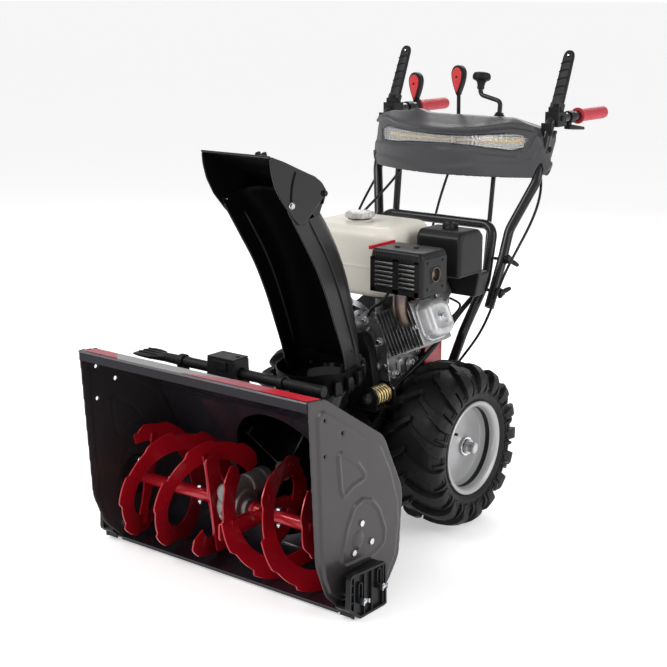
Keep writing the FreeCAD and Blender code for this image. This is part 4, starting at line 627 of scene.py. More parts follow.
def round_axle(bm, side, section, steps=96):
    """Carries a closed section of (radius, offset) points round the axle of a wheel."""
    rings = []
    for k in range(steps):
        a = 2 * PI * k / steps
        rings.append([(side * (WHEEL_X + x), r * cos(a), WHEEL_Z + r * sin(a)) for r, x in section])
    ring_loop(bm, rings)


def tyre_carcass(name, side):
    """Tyre body with its beads and the raised rings of its sidewalls."""
    bm = bmesh.new()
    half = [carcass_at(i / 40) for i in range(41)]
    section = [(r, x) for x, r, _, _ in half]
    mirrored = [(r, -x) for r, x in reversed(section)]
    round_axle(bm, side, mirrored + section[1:] + [(BEAD_R, BEAD_X), (BEAD_R, -BEAD_X)])
    for face in (-1, 1):
        for ring_r, ring_x, wide in SIDEWALL_RINGS:
            round_axle(bm, side, [(ring_r + q, side * face * (ring_x + p)) for p, q in circle(wide, 8)])
    piece(name, bm, TYRE, "wheels", once(side, "tyres"))


def lug(bm, side, face, angle, reach, slant, wide, tall, start):
    """One tread lug that runs from near the middle of the tread over the shoulder."""
    rings = []
    for k in range(13):
        f = k / 12
        x, r, nx, nr = carcass_at(start + (reach - start) * f)
        turn = angle + slant * sin(min(1.0, f * 1.35) * PI / 2)
        height = tall * (1 - 0.72 * step(f, 0.62, 1.0)) * (0.82 + 0.18 * step(f, 0.0, 0.12))
        half = wide * (0.62 + 0.5 * step(f, 0.1, 0.6) - 0.35 * step(f, 0.8, 1.0)) / 2
        ring = []
        for w, h in ((-1.15, -0.35), (-0.86, 1.0), (0.86, 1.0), (1.15, -0.35)):
            out = r + nr * height * h
            a = turn + w * half / r
            ring.append((side * WHEEL_X + face * (x + nx * height * h), out * cos(a),
                         WHEEL_Z + out * sin(a)))
        rings.append(ring)
    loft(bm, rings)


def tyre_lugs(name, side):
    """Two rows of slanted lugs, one row a quarter of a pitch ahead of the other."""
    bm = bmesh.new()
    for face in (-1, 1):
        for i in range(LUGS):
            base = 2 * PI * (i + (0.25 if face > 0 else 0.0)) / LUGS
            for share, *shape in TREAD:
                lug(bm, side, face, base + LUG_PITCH * share, *shape)
    piece(name, bm, TYRE, "wheels", bevel=1.0, segments=1)


def rim(name, side):
    """Pressed steel rim with its dished centre and the hub's tube."""
    bm = bmesh.new()
    outer = [(101, 62), (104, 70), (109, 74.5), (113.5, 75.8), (116.5, 74), (116.5, 70), (112.5, 69),
             (107.5, 66), (101.5, 58), (100.2, 44), (98.8, 34), (95.5, 28.5), (90, 26.6), (72, 27.4),
             (52, 31), (34, 37), (27.5, 39.5), (22.5, 43), (22.5, 50), (20.2, 51.4), (17, 51.2),
             (15.4, 49.6), (15.2, 38), (15.2, -18)]
    inner = [(20, -18), (20, 36), (50, 28), (88, 23), (96, 18), (98, -44), (101, -62), (108, -70), (113, -74),
             (113, -71), (104, -62), (101, -50), (100.4, 40)]
    round_axle(bm, side, outer + inner)
    piece(name, bm, RIM, "wheels", once(side, "rims"))


def hub_trim(name, side):
    """Bright ring on the hub."""
    bm = bmesh.new()
    centre = (side * (WHEEL_X + 50.0), 0, WHEEL_Z)
    lathe(bm, [(15.6, 0), (23.4, 0), (23.9, 1.4), (23.2, 2.6), (20.6, 2.9), (15.8, 2.6), (15.6, 0)], centre,
          (side, 0, 0), 56)
    piece(name, bm, BRIGHT, "wheels")


def valve(name, side):
    """Rubber valve stem in the rim's disc."""
    bm = bmesh.new()
    lathe(bm, [(0, 0), (7.5, 0), (7.2, 2.2), (5.0, 3.4), (4.6, 8), (4.2, 22), (3.4, 23), (3.4, 30), (0, 31)],
          (side * (WHEEL_X + 28), -52.0, 247.0), (side, 0, 0), 20)
    piece(name, bm, TYRE, "wheels")


def build_wheels():
    both(tyre_carcass, "tyre")
    both(tyre_lugs, "tread")
    both(rim, "rim")
    both(hub_trim, "hub_ring")
    both(valve, "valve")


# ---- Augers ----
AUGER_Y, AUGER_Z = -550.0, 155.0
HUB = Vector((0, AUGER_Y, AUGER_Z))
FLIGHT_X0, FLIGHT_X1 = 38.0, 306.0
FLIGHT_PITCH = 222.0
FLIGHT_R = 140.0
NOTCH_ANGLE = 62.0
START_ANGLE = {1: 112.0, -1: 30.0}


def notch(turn):
    """Outer edge radius against the angle wound so far, in degrees: shallow saw steps."""
    steps = turn / NOTCH_ANGLE
    phase = steps % 1.0
    deep = 10.0 if int(steps) % 2 else 7.0
    return FLIGHT_R - deep * step(phase, 0.42, 0.54) + deep * step(phase, 0.95, 0.985)


def ribbon(bm, side, start):
    """One helical blade; both its ends are cut off at a slant."""
    rings = []
    total = (FLIGHT_X1 - FLIGHT_X0) * 360.0 / FLIGHT_PITCH
    count = 190
    for i in range(count + 1):
        wound = total * i / count
        x = FLIGHT_X0 + (FLIGHT_X1 - FLIGHT_X0) * i / count
        a = radians(start + wound)
        cut_in = 16.0 * (1 - min(1.0, wound / 9.0))
        cut_out = 26.0 * (1 - min(1.0, (total - wound) / 13.0))
        outer = notch(wound) - cut_in - cut_out
        section = ((91, -2), (91.6, -2.1), (outer - 0.8, -2.1), (outer, -1.1), (outer, 1.1),
                   (outer - 0.8, 2.1), (91.6, 2.1), (91, 2))
        rings.append([(side * (x + dx), AUGER_Y + r * cos(a), AUGER_Z + r * sin(a))
                      for r, dx in section])
    loft(bm, rings)


def auger_arms(bm, side, start):
    """Flat arms from the tube to the two blades."""
    for half_turn in (0.0, 180.0):
        for x in (80.0, 288.0):
            a = radians(start + half_turn + (x - FLIGHT_X0) * 360.0 / FLIGHT_PITCH)
            turn = Matrix.Rotation(a, 3, "X")
            rings = []
            for k in range(9):
                f = k / 8
                wide = 15.0 - 3.0 * sin(f * PI)
                corners = ((-2.4, -wide), (2.4, -wide), (2.4, wide), (-2.4, wide))
                rings.append([HUB + Vector((side * x, 0, 0)) + turn @ Vector((p, 8 + f * 102, q))
                              for p, q in corners])
            loft(bm, rings)


def auger_paddle(bm, side, start):
    """The long flat bar bolted to the tube beside the gearbox, with a pressed rib."""
    turn = Matrix.Rotation(radians(start - 22), 3, "X")

    def at(depth, a, b):
        return HUB + Vector((side * depth, 0, 0)) + turn @ Vector((0, a, b))
    points = rounded([(-40, -118), (2, -118), (2, 118), (-40, 118)], 9)
    loft(bm, [[at(depth, a, b) for a, b in points] for depth in (46.0, 51.0)])
    rib = []
    for k in range(13):
        b = -100 + 200 * k / 12
        tall = 3.4 * sin(PI * k / 12) ** 0.5 if 0 < k < 12 else 0.2
        bead = ((-26, 50.6), (-21, 50.8 + tall), (-15, 50.8 + tall), (-10, 50.6))
        rib.append([at(d, a, b) for a, d in bead])
    loft(bm, rib)


def auger(name, side):
    """Two blades, their arms and the flat bar on one tube."""
    bm = bmesh.new()
    start = START_ANGLE[side]
    for half_turn in (0.0, 180.0):
        ribbon(bm, side, start + half_turn)
    auger_arms(bm, side, start)
    auger_paddle(bm, side, start)
    end = (side * 44, AUGER_Y, AUGER_Z)
    lathe(bm, [(10.4, 0), (14.4, 0), (15, 0.6), (15, 277.4), (14.4, 278), (10.4, 278), (10.4, 0)], end,
          (side, 0, 0), 40)
    lathe(bm, [(14.8, 0), (17.6, 0.8), (17.6, 9), (14.8, 11)], end, (side, 0, 0), 40)
    piece(name, bm, RED, "auger", ("auger_" + side_word(side),), bevel=0.5, segments=1)


def shear_pins():
    """Bolts through the tubes, each with a head above and a nut below."""
    bm = bmesh.new()
    for x in (120.0, 215.0):
        for side in (-1, 1):
            hex_head(bm, (side * x, AUGER_Y, AUGER_Z + 15.6), (0, 0, 1), 12.0, 6.0)
            hex_head(bm, (side * x, AUGER_Y, AUGER_Z - 15.2), (0, 0, -1), 11.0, 6.5)
            rod(bm, (side * x, AUGER_Y, AUGER_Z - 25.5), (side * x, AUGER_Y, AUGER_Z + 16), 3.0, 16)
    piece("shear_pins", bm, BRIGHT, "auger", ("shear_bolts",))


def flange_spots():
    """Y and Z of the six bolts that hold the gearbox halves together."""
    angles = [radians(25 + 60 * k) for k in range(6)]
    return [(AUGER_Y + 45 * cos(a), AUGER_Z + 45 * sin(a)) for a in angles]


def gearbox():
    """Two cast halves with a flange, bosses, bolts and the filler plug."""
    def extra(bm):
        rod(bm, (-4.5, AUGER_Y, AUGER_Z), (4.5, AUGER_Y, AUGER_Z), 51, 48)
        for y, z in flange_spots():
            rod(bm, (-13, y, z), (13, y, z), 9.5, 20)
        rod(bm, (0, AUGER_Y - 12, AUGER_Z + 30), (0, AUGER_Y - 20, AUGER_Z + 58), 10, 24)
        rod(bm, (0, AUGER_Y + 26, 192), (0, AUGER_Y + 96, 192), 29, 32)
    recast("gearbox_case", "gearbox", 2.2, 3, CAST, "machine", extra=extra)
    bm = bmesh.new()
    for y, z in flange_spots():
        for side in (-1, 1):
            hex_head(bm, (side * 13, y, z), (side, 0, 0), 10, 5)
    hex_head(bm, (0, AUGER_Y - 20.0, AUGER_Z + 58), (0, -0.28, 0.96), 13, 7)
    piece("gearbox_bolts", bm, BRIGHT, "machine")


def build_augers():
    both(auger, "ribbon_auger")
    shear_pins()
    gearbox()


# ---- Console ----
# The middle of each handle tube, with its grip and paddle.
HAND_X = 254.0
# Heights of the console's features across its width, as (X, Z) in design mm.
BROW = [(-274, 962), (-184, 960), (-135, 951), (-68, 947), (15, 944), (84, 943), (126, 947), (164, 954),
        (201, 959), (236, 963), (274, 966)]
LEDGE = [(-274, 890), (-165, 895), (-67, 900), (16, 898), (85, 895), (147, 887), (203, 884), (231, 901),
         (250, 943), (262, 970), (274, 990)]
SKIRT = [(-274, 858), (-173, 861), (-66, 868), (86, 870), (204, 867), (238, 878), (258, 906), (267, 939),
         (274, 960)]
DASH_HALF = 274.0
LENS_TOP = [(-212, 925), (-203, 936), (-188, 940), (-135, 938), (-67, 933.5), (15, 932), (84, 933),
            (146, 939), (200, 943), (220, 939), (231, 930)]
LENS_LOW = [(-212, 915), (-205, 902), (-190, 900), (-165, 902), (-67, 909.5), (15, 912), (85, 910),
            (147, 904), (192, 899), (217, 905), (231, 926)]


def along(table, x):
    """Height read from a table of (X, Z), smooth between its entries."""
    if x <= table[0][0]:
        return table[0][1]
    for (x0, z0), (x1, z1) in zip(table, table[1:]):
        if x <= x1:
            return z0 + (z1 - z0) * step(x, x0, x1)
    return table[-1][1]


def bow(x):
    """Y of the console's bowed front."""
    return 222.0 + 108.0 * (x / DASH_HALF) ** 2


def band(value, low, high, soft):
    """1 between low and high, 0 outside, with soft edges."""
    return step(value, low - soft, low + soft) * (1 - step(value, high - soft, high + soft))


def dash_lift(x, y, z):
    """How far the console's top and bottom edges are raised from the CAD solid."""
    lift = 9.0 * exp(-((x + 108) / 27) ** 2) * step(z, 950, 975) * (1 - step(y, 330, 400))
    lift += step(z, 925, 978) * -24.0 * step(abs(x), 180, 268)
    lift -= step(z, 930, 965) * 0.24 * max(0.0, y - 304.0)
    edge = 835.0 + 0.514 * max(0.0, 262.0 - y)
    target = 831.0 + 0.035 * max(0.0, abs(x) - 248.0) ** 2
    return lift + (target - edge) * (1 - step(z, edge + 4, edge + 34)) * (1 - step(y, 410, 440))


def dash_shape(p):
    """Presses the brow, the sunk band, the ledge, the skirt and the lens recess into the front."""
    x, y, z = p
    front = 1 - step(y - bow(x), 10.0, 26.0)
    side = 1 - step(abs(x), 258.0, 272.0)
    if front > 0:
        inward = Vector((-x / DASH_HALF * 0.55, 1.0, 0.0)).normalized()
        brow = along(BROW, x)
        ledge = along(LEDGE, x)
        skirt = along(SKIRT, x)
        sunk = (1 - step(z, brow - 5, brow + 1)) * step(z, ledge - 3, ledge + 3) * 4.5
        swell = step(z, brow - 2, brow + 6) * (1 - step(z, brow + 6, brow + 22)) * -2.0
        out = (1 - step(z, skirt - 3, skirt + 3)) * -3.0
        lens_in = 0.0
        if -214 < x < 233:
            lens_in = 8.0 * band(z, along(LENS_LOW, x), along(LENS_TOP, x), 1.5)
        p = p + inward * ((sunk * side + swell + out + lens_in) * front)
    return p + Vector((0, 0, dash_lift(x, y, z)))


def dash_filler(bm):
    """A curved wall across the lamp slot, into which the leaf shaped lens recess is pressed."""
    rings = []
    for k in range(57):
        x = -226 + 452 * k / 56
        y = bow(x)
        rings.append([(x, y + 0.3, 895), (x, y + 4.2, 895), (x, y + 4.2, 935), (x, y + 0.3, 935)])
    loft(bm, rings)


def leaf(bm, inset, front, thick):
    """A curved sheet with the lens outline."""
    rings = []
    shares = [m / 8 for m in range(9)]
    for k in range(90):
        x = -211.5 + inset + (442 - 2 * inset) * k / 89
        low = along(LENS_LOW, x) + inset
        top = along(LENS_TOP, x) - inset
        if top - low < 1.0:
            low, top = (low + top) / 2 - 0.5, (low + top) / 2 + 0.5
        y = bow(x) + front
        face = [(y - 1.6 * sin(PI * f), low + (top - low) * f) for f in shares]
        rings.append([(x, a, b) for a, b in face] + [(x, a + thick, b) for a, b in reversed(face)])
    loft(bm, rings)


def strip_in_lens(bm, x0, x1, front, low, high):
    """A bowed bar inside the lens; low and high are shares of the lens height."""
    rings = []
    for k in range(40):
        x = x0 + (x1 - x0) * k / 39
        a = along(LENS_LOW, x)
        b = along(LENS_TOP, x)
        y = bow(x) + front
        z0, z1 = a + (b - a) * low, a + (b - a) * high
        rings.append([(x, y, z0), (x, y + 1.6, z0), (x, y + 1.6, z1), (x, y, z1)])
    loft(bm, rings)


def build_lamp():
    """Clear lens with the lamp strip, its holders and the reflector behind it."""
    bm = bmesh.new()
    leaf(bm, 1.0, 3.6, 2.2)
    piece("lens_leaf", bm, CLEAR, "upper_handle", ("lens",))
    bm = bmesh.new()
    strip_in_lens(bm, -180, 214, 9.6, 0.40, 0.60)
    piece("lamp_strip", bm, AMBER, "upper_handle", ("lamp_bar",))
    bm = bmesh.new()
    strip_in_lens(bm, 42, 47, 8.2, 0.14, 0.86)
    strip_in_lens(bm, 50, 54, 8.2, 0.20, 0.80)
    for low in (0.10, 0.26, 0.68, 0.84):
        strip_in_lens(bm, 112, 216, 8.6, low, low + 0.05)
    strip_in_lens(bm, 110, 113, 8.0, 0.06, 0.94)
    piece("lamp_ribs", bm, BOARD, "upper_handle")
    bm = bmesh.new()
    strip_in_lens(bm, -205, 224, 11.4, 0.03, 0.97)
    reflector = surface("lamp_reflector", (0.34, 0.34, 0.34), 0.2, metallic=0.9, tint=0.1, tint_scale=30,
                        waves=(5.0, 0.4, "X"))
    piece("lamp_reflector", bm, reflector, "upper_handle")


def dash_fittings():
    """Clamp blocks at the paddles and the side screws of the console."""
    bm = bmesh.new()
    for side in (-1, 1):
        for y, z in ((352, 900), (356, 862)):
            lathe(bm, [(0, 0), (7.6, 0), (7.6, 3), (5.8, 5.5), (2.6, 6), (2.4, 4.2), (0, 4.2)],
                  (side * 262, y, z), (side, 0.25, 0), 24)
        hand = side * HAND_X
        brick(bm, hand - 15, hand + 15, 344, 352, 935, 966)
        rod(bm, (side * 272, 352, 944), (side * 279, 352, 944), 5, 16)
        brick(bm, hand - 19, hand + 19, 370, 412, 955, 992)
        brick(bm, hand - 15, hand + 15, 378, 404, 990, 1004)
        lathe(bm, [(0, 0), (7, 0), (7, 3), (5, 5), (0, 5)], (side * 273, 391, 976), (side, 0, 0), 20)
    piece("console_fittings", bm, PLASTIC, "upper_handle", bevel=0.6)


# ---- Hand controls ----
PADDLE_Y, PADDLE_Z = 396.0, 1004.0
PADDLE_LEAN = radians(67)
LEVER_Y = 330.0


def paddle_point(side, a, w, n):
    """a runs up the paddle from its pin, w is across and n stands off its front."""
    c, s = cos(PADDLE_LEAN), sin(PADDLE_LEAN)
    return Vector((side * HAND_X + w, PADDLE_Y + a * c - n * s, PADDLE_Z + a * s + n * c))


def paddle(name, side):
    """Ribbed paddle: a shell with rolled edges, cross ribs and an eye at its round end."""
    bm = bmesh.new()
    rings = []
    spans = [(-12, 9, 7), (-6, 14.5, 8), (10, 17.0, 8.6), (40, 16.8, 8.4), (80, 16.2, 8.0), (118, 15.6, 7.6),
             (134, 15.2, 7.4), (142, 13.2, 7.0), (148, 9.0, 6.0), (150.4, 3.6, 4.2)]
    for a, half, deep in spans:
        ring = []
        for cx, cy in circle(1.0, 24):
            w = half * copysign(abs(cx) ** 0.5, cx)
            n = deep * 0.78 * copysign(abs(cy) ** 0.6, cy)
            if a > 20 and cy > 0.3 and abs(w) < half * 0.72:
                n -= 1.8
            ring.append(paddle_point(side, a, w, n))
        rings.append(ring)
    loft(bm, rings)
    for a in (28, 50, 72, 94, 116):
        path = []
        for k in range(13):
            arch = sin(PI * k / 12)
            path.append(paddle_point(side, a + 4 * arch + (k / 12 - 0.5) * 6, -15.8 + 31.6 * k / 12,
                                     4.4 + 1.6 * arch))
        sweep(bm, path, circle(1.5, 10))
    lathe(bm, [(2.4, 0), (4.6, 0), (4.6, 1.5), (3.6, 2.2), (2.4, 2.2), (2.4, 0)],
          paddle_point(side, 136, 0, 4.4), paddle_point(side, 136, 0, 9) - paddle_point(side, 136, 0, 4), 20)
    hand = side * HAND_X
    brick(bm, hand - 17, hand + 17, PADDLE_Y - 7, PADDLE_Y + 9, PADDLE_Z - 10, PADDLE_Z + 9,
          Matrix.Rotation(PADDLE_LEAN - PI / 2, 3, "X"))
    body = "paddle_" + side_word(side)
    piece(name, bm, PLASTIC, body, (body,), bevel=0.6)


def paddle_hole(name, side):
    """The bright pin seen in the eye at the paddle's end."""
    bm = bmesh.new()
    start = paddle_point(side, 136, 0, 4.2)
    button(bm, start, paddle_point(side, 136, 0, 9) - start, 2.6, 2.6, 1.4, 1.8, 16)
    piece(name, bm, BRIGHT, "paddle_" + side_word(side))


def teardrop(x, z, wide, high, low):
    """Outline of a lever head: a round top that narrows to its stem."""
    points = []
    for k in range(40):
        t = 2 * PI * k / 40
        c, s = sin(t), cos(t)
        if s > 0:
            points.append((x + c * wide, z + s * high))
        else:
            points.append((x + c * wide * (1 - 0.62 * (-s) ** 1.6), z + s * low))
    return points


def lever(name, x, knob_x, knob_z, body):
    """Flat lever with a teardrop head: black shell, red front and a dark screw hole."""
    y = LEVER_Y
    bm = bmesh.new()
    lathe(bm, [(4.3, 0), (10.4, 0), (11, 0.6), (11, 9.4), (10.4, 10), (4.3, 10), (4.3, 0)], (x - 5, y, 930),
          (1, 0, 0), 32)
    path = smooth_path([(x, y, 938), (x, y, 972), (x + (knob_x - x) * 0.2, y, 992), (knob_x, y, knob_z - 24),
                        (knob_x, y, knob_z - 6)], 6)
    sweep(bm, path, [(a * 1.35, b) for a, b in circle(4.0, 16)], up=(0, 1, 0))
    outline = teardrop(knob_x, knob_z + 10, 19.0, 23, 56)
    pillow(bm, outline, "XZ", y + 1, y - 10, 3.0)
    pillow(bm, outline, "XZ", y + 1, y + 12, 5.0)
    piece(name, bm, PLASTIC, body, (name,))
    bm = bmesh.new()
    pillow(bm, teardrop(knob_x, knob_z + 9, 14.4, 18, 46), "XZ", y - 8.8, y - 12.6, 1.4)
    piece(name + "_face", bm, KNOB_RED, body)
    bm = bmesh.new()
    button(bm, (knob_x, y - 12.5, knob_z + 3), (0, -1, 0), 3.2, 3.2, 0.8, 0.8, 18)
    piece(name + "_screw", bm, PLASTIC, body)


ROD_LOW = Vector((152.0, 232.0, 566.0))
ROD_TOP = Vector((126.0, 330.0, 1004.0))
ROD_AXIS = (ROD_TOP - ROD_LOW).normalized()
BOOT_Z = 971.0


def crank():
    """Crank bar with its offset arm, the round knob on it, and the boot where it leaves the console."""
    tip = ROD_TOP + ROD_AXIS * 12
    elbow = tip + Vector((-62, 0, 14))
    arm = (elbow - tip).normalized()
    bm = bmesh.new()
    line = [ROD_LOW, ROD_TOP - ROD_AXIS * 12, ROD_TOP - ROD_AXIS * 2]
    for k in range(7):
        t = k / 6
        line.append((ROD_TOP + (tip - ROD_TOP) * t).lerp(tip + arm * (14 * t), t))
    for k in range(1, 7):
        t = k / 6
        line.append((elbow - arm * (14 * (1 - t))).lerp(elbow + ROD_AXIS * (14 * t), t))
    line.append(elbow + ROD_AXIS * 20)
    pipe(bm, line, 6.0, 20)
    rod(bm, elbow + ROD_AXIS * 16, elbow + ROD_AXIS * 42, 4.0, 20)
    rod(bm, ROD_LOW, ROD_LOW + ROD_AXIS * 26, 10.0, 32, 1.2)
    piece("crank_bar", bm, TUBE_BLACK, "crank_rod", ("crank_rod",))
    bm = bmesh.new()
    base = elbow + ROD_AXIS * 14
    lathe(bm, [(4.1, 0), (8.5, 0), (9.6, 3), (9.2, 8), (10.8, 16), (14, 21), (20.5, 23.5), (22.6, 26.5),
               (22.8, 36), (21.0, 40.5), (16, 43), (0, 44)], base, ROD_AXIS, 64)
    u, v = axes_of(ROD_AXIS)
    for a, b in circle(1.0, 24):
        at = base + (u * a + v * b) * 22.6
        rod(bm, at + ROD_AXIS * 26.5, at + ROD_AXIS * 36, 0.9, 8)
    piece("crank_cap", bm, PLASTIC, "crank_knob", ("crank_knob",))
    bm = bmesh.new()
    foot = ROD_LOW + ROD_AXIS * ((BOOT_Z - ROD_LOW.z) / ROD_AXIS.z)
    lathe(bm, [(6.4, 3), (15, 3), (15.6, 5), (14, 7.5), (12.6, 8), (13.4, 10), (11.4, 12), (10.6, 12.6),
               (11.2, 14.5), (8.8, 17), (6.5, 18), (6.5, 3)], foot, ROD_AXIS, 40)
    piece("crank_boot", bm, PLASTIC, "upper_handle")


def grip_sleeve(name, side):
    """Soft grip: a sleeve with a flange, shallow rings and a domed end."""
    bm = bmesh.new()
    section = [(13.2, 0), (19.5, 0), (21, 1.5), (21, 4.5), (19.5, 6), (16.6, 7.5), (16.1, 14)]
    for k in range(9):
        at = 22 + k * 12.5
        section += [(16.3, at), (16.0, at + 1.5), (15.6, at + 2.6), (16.0, at + 3.7), (16.4, at + 5.2)]
    section += [(16.4, 138), (15.6, 142.5), (12.5, 145.4), (7.0, 146), (0, 146)]
    lathe(bm, section, (side * HAND_X, 505, 974), (0, 1, 0), 48)
    piece(name, bm, GRIP, "upper_handle", once(side, "grips"))


def trigger(name, side):
    """Steering trigger under the grip."""
    bm = bmesh.new()
    outline = rounded([(452, 953), (470, 954), (532, 944), (534, 936), (470, 941), (452, 943)], 2.2)
    for face in (9, -9):
        pillow(bm, outline, "YZ", side * HAND_X, side * HAND_X + face, 2.4)
    body = "trigger_" + side_word(side)
    piece(name, bm, PLASTIC, body, (body,))


# Y, Z, inner end of the shank, and slope of the handle.
FOLD_KNOBS = ((185.0, 556.0, 166, 1.2), (219.0, 632.0, 190, -2.6))


def fold_knob(name, side):
    """Two T-shaped clamp handles, one on the fold pivot and one above it."""
    bm = bmesh.new()
    for y, z, inner, slope in FOLD_KNOBS:
        rod(bm, (side * inner, y, z), (side * 228, y, z), 4.0, 20)
        lathe(bm, [(0, 0), (9, 0), (10, 2), (9, 8), (8, 16), (0, 17)], (side * 225, y, z), (side, 0, 0), 28)
        lathe(bm, [(4.2, 0), (11, 0), (11, 2), (4.2, 2)], (side * 223.6, y, z), (side, 0, 0), 28)
        path = [(side * (238 + 6 * abs(k / 6) ** 1.5), y + 4.0 * k, z + slope * k) for k in range(-6, 7)]
        sweep(bm, path, [(a * 1.15, b) for a, b in circle(5.4, 16)],
              scale=lambda t: 0.82 + 0.3 * sin(PI * abs(2 * t - 1)))
    piece(name, bm, PLASTIC, "upper_handle", once(side, "fold_knobs"))


def build_handles():
    recast("dash", "console", 2.4, 4, DASH, "upper_handle", dash_shape, dash_filler)
    build_lamp()
    dash_fittings()
    both(paddle, "clutch_paddle")
    both(paddle_hole, "paddle_pin")
    lever("speed_lever", 0.0, -1.0, 1070.0, "speed_lever")
    lever("deflector_lever", -120.0, -136.0, 1047.0, "deflector_lever")
    crank()
    both(grip_sleeve, "grip")
    both(trigger, "steering_trigger")
    both(fold_knob, "fold_knob")


# ---- Engine ----
CYL_TILT = radians(25)
CRANK_Z = 437.0
BORE_Y = -58.0


def build_tank():
    """Moulded tank with a seam, and a lobed metal cap."""
    cap = Vector((-50, -30, 744.6))

    def seam(p):
        x, y, z = p
        dist = abs(z - 640)
        if z < 742:
            outward = Vector((x + 45, y, 0))
            if outward.length > 1:
                p = p + outward.normalized() * (1.8 * exp(-(dist / 2.6) ** 2))
        return p
    recast("fuel_tank", "tank", 2.6, 9, CREAM, "machine", seam)
    bm = bmesh.new()
    levels = ((0, 0.90), (1.5, 0.98), (4, 1.0), (9, 1.0), (12, 0.97), (14, 0.88), (14.6, 0.72), (13.6, 0.66),
              (13.4, 0.3))
    lobed(bm, cap, 35.5, 2.3, 8, levels, 96)
    piece("tank_cap", bm, CAP_ZINC, "fuel_cap", ("fuel_cap",))
    bm = bmesh.new()
    lathe(bm, [(0, 742), (30, 742), (31, 743.4), (30, 744.4), (0, 744.4)], (cap.x, cap.y, 0), (0, 0, 1), 48)
    piece("filler_neck", bm, PLASTIC, "machine")


# The box that the muffler guard fills, and the thickness of its sheet.
GX0, GX1, GY0, GY1, GZ0, GZ1 = 92.0, 240.0, -180.0, -70.0, 599.0, 706.0
GUARD_SHEET = 2.0
PORT_Y, PORT_Z = (GY0 + GY1) / 2 + 2, (GZ0 + GZ1) / 2 - 2


def guard_box():
    """Rounded top, the frame round the louvres, and the plain back and inner side."""
    bm = bmesh.new()
    top = rounded([(GX0, GY0), (GX1, GY0), (GX1, GY1), (GX0, GY1)], 13)

    def level(inset, z):
        return [Vector((a, b, z)) for a, b in shrunk(top, inset + 0.01)]
    lid = level(10.5, GZ1)
    loft(bm, [lid, level(6, GZ1 - 1.5), level(2.2, GZ1 - 6), level(0, GZ1 - 15)], caps=False)
    bm.faces.new([bm.verts.new(p) for p in lid])
    loft(bm, [level(0, GZ1 - 15), level(0, GZ1 - 22)], caps=False)
    t = GUARD_SHEET
    brick(bm, GX0 + 6, GX1 - 8, GY0 - 0.4, GY0 + t, GZ0 + 4, GZ0 + 16)
    brick(bm, GX0 + 6, GX1 - 8, GY0 - 0.4, GY0 + t, GZ1 - 26, GZ1 - 18)
    for a, b in ((GX0 + 2, GX0 + 16), (GX0 + 66, GX0 + 84), (GX1 - 20, GX1 - 4)):
        brick(bm, a, b, GY0 - 0.4, GY0 + t, GZ0 + 4, GZ1 - 20)
    brick(bm, GX0, GX0 + t, GY0 + 8, GY1 - 8, GZ0 + 4, GZ1 - 16)
    brick(bm, GX0 + 8, GX1 - 8, GY1 - t, GY1, GZ0 + 4, GZ1 - 16)
    corner = []
    for k in range(9):
        a = PI * 1.5 + PI / 2 * k / 8
        corner.append((GX1 - 13 + 13 * cos(a), GY0 + 13 + 13 * sin(a)))
    low = [bm.verts.new((a, b, GZ0 + 4)) for a, b in corner]
    high = [bm.verts.new((a, b, GZ1 - 16)) for a, b in corner]
    for i in range(len(corner) - 1):
        bm.faces.new((low[i], low[i + 1], high[i + 1], high[i]))
    piece("guard_box", bm, SATIN, "machine", ("muffler_guard",), bevel=0.7)


def guard_slats():
    """Two columns of bowed slats in front of the muffler."""
    bm = bmesh.new()
    for k in range(6):
        z = GZ0 + 22 + k * 10.6
        for a, b in ((GX0 + 15, GX0 + 67), (GX0 + 83, GX1 - 19)):
            path = [(a + (b - a) * i / 10, GY0 + 2.6 - 3.2 * sin(PI * i / 10) ** 0.4, z)
                    for i in range(11)]
            sweep(bm, path, oval(3.4, 2.6, 14), up=(0, 1, 0))
    slat = surface("slat_grey", (0.17, 0.167, 0.163), 0.3, metallic=0.9, tint=0.2, tint_scale=60, grain=0.03)
    piece("guard_slats", bm, slat, "machine", bevel=0.4, segments=1)


def guard_side():
    """Outer side with a raised collar round the exhaust port, rivets and two slots."""
    bm = bmesh.new()
    cy, cz = PORT_Y, PORT_Z

    def spread(points, factor):
        return [(cy + (a - cy) * factor, cz + (b - cz) * factor) for a, b in points]

    def at(x, points):
        return [Vector((x, a, b)) for a, b in points]
    corners = [(GY0 + 13, GZ0 + 4), (GY1 - 6, GZ0 + 4), (GY1 - 6, GZ1 - 16), (GY0 + 13, GZ1 - 16)]
    outline = rounded(corners, 3, 6)
    angles = [atan2(b - cz, a - cy) for a, b in outline]
    hole = [(cy + 21 * cos(a), cz + 21 * sin(a)) for a in angles]
    rings = [at(GX1 - GUARD_SHEET, outline), at(GX1, outline), at(GX1, spread(hole, 1.3)),
             at(GX1 + 1.8, spread(hole, 1.2)), at(GX1 + 1.8, hole), at(GX1 - 4, spread(hole, 0.86))]
    loft(bm, rings, caps=False)
    for dy, dz in ((-30, 30), (32, 30), (-30, -32), (32, -32)):
        button(bm, (GX1 + 0.2, cy + dy, cz + dz), (1, 0, 0), 3.6, 3.2, 1.6, 2.0, 18)
    brick(bm, GX1 - 0.5, GX1 + 0.6, cy - 16, cy - 2, GZ0 + 12, GZ0 + 15)
    brick(bm, GX1 - 0.5, GX1 + 0.6, cy + 20, cy + 34, GZ0 + 30, GZ0 + 33)
    piece("guard_side", bm, SATIN, "machine", bevel=0.5, segments=1)


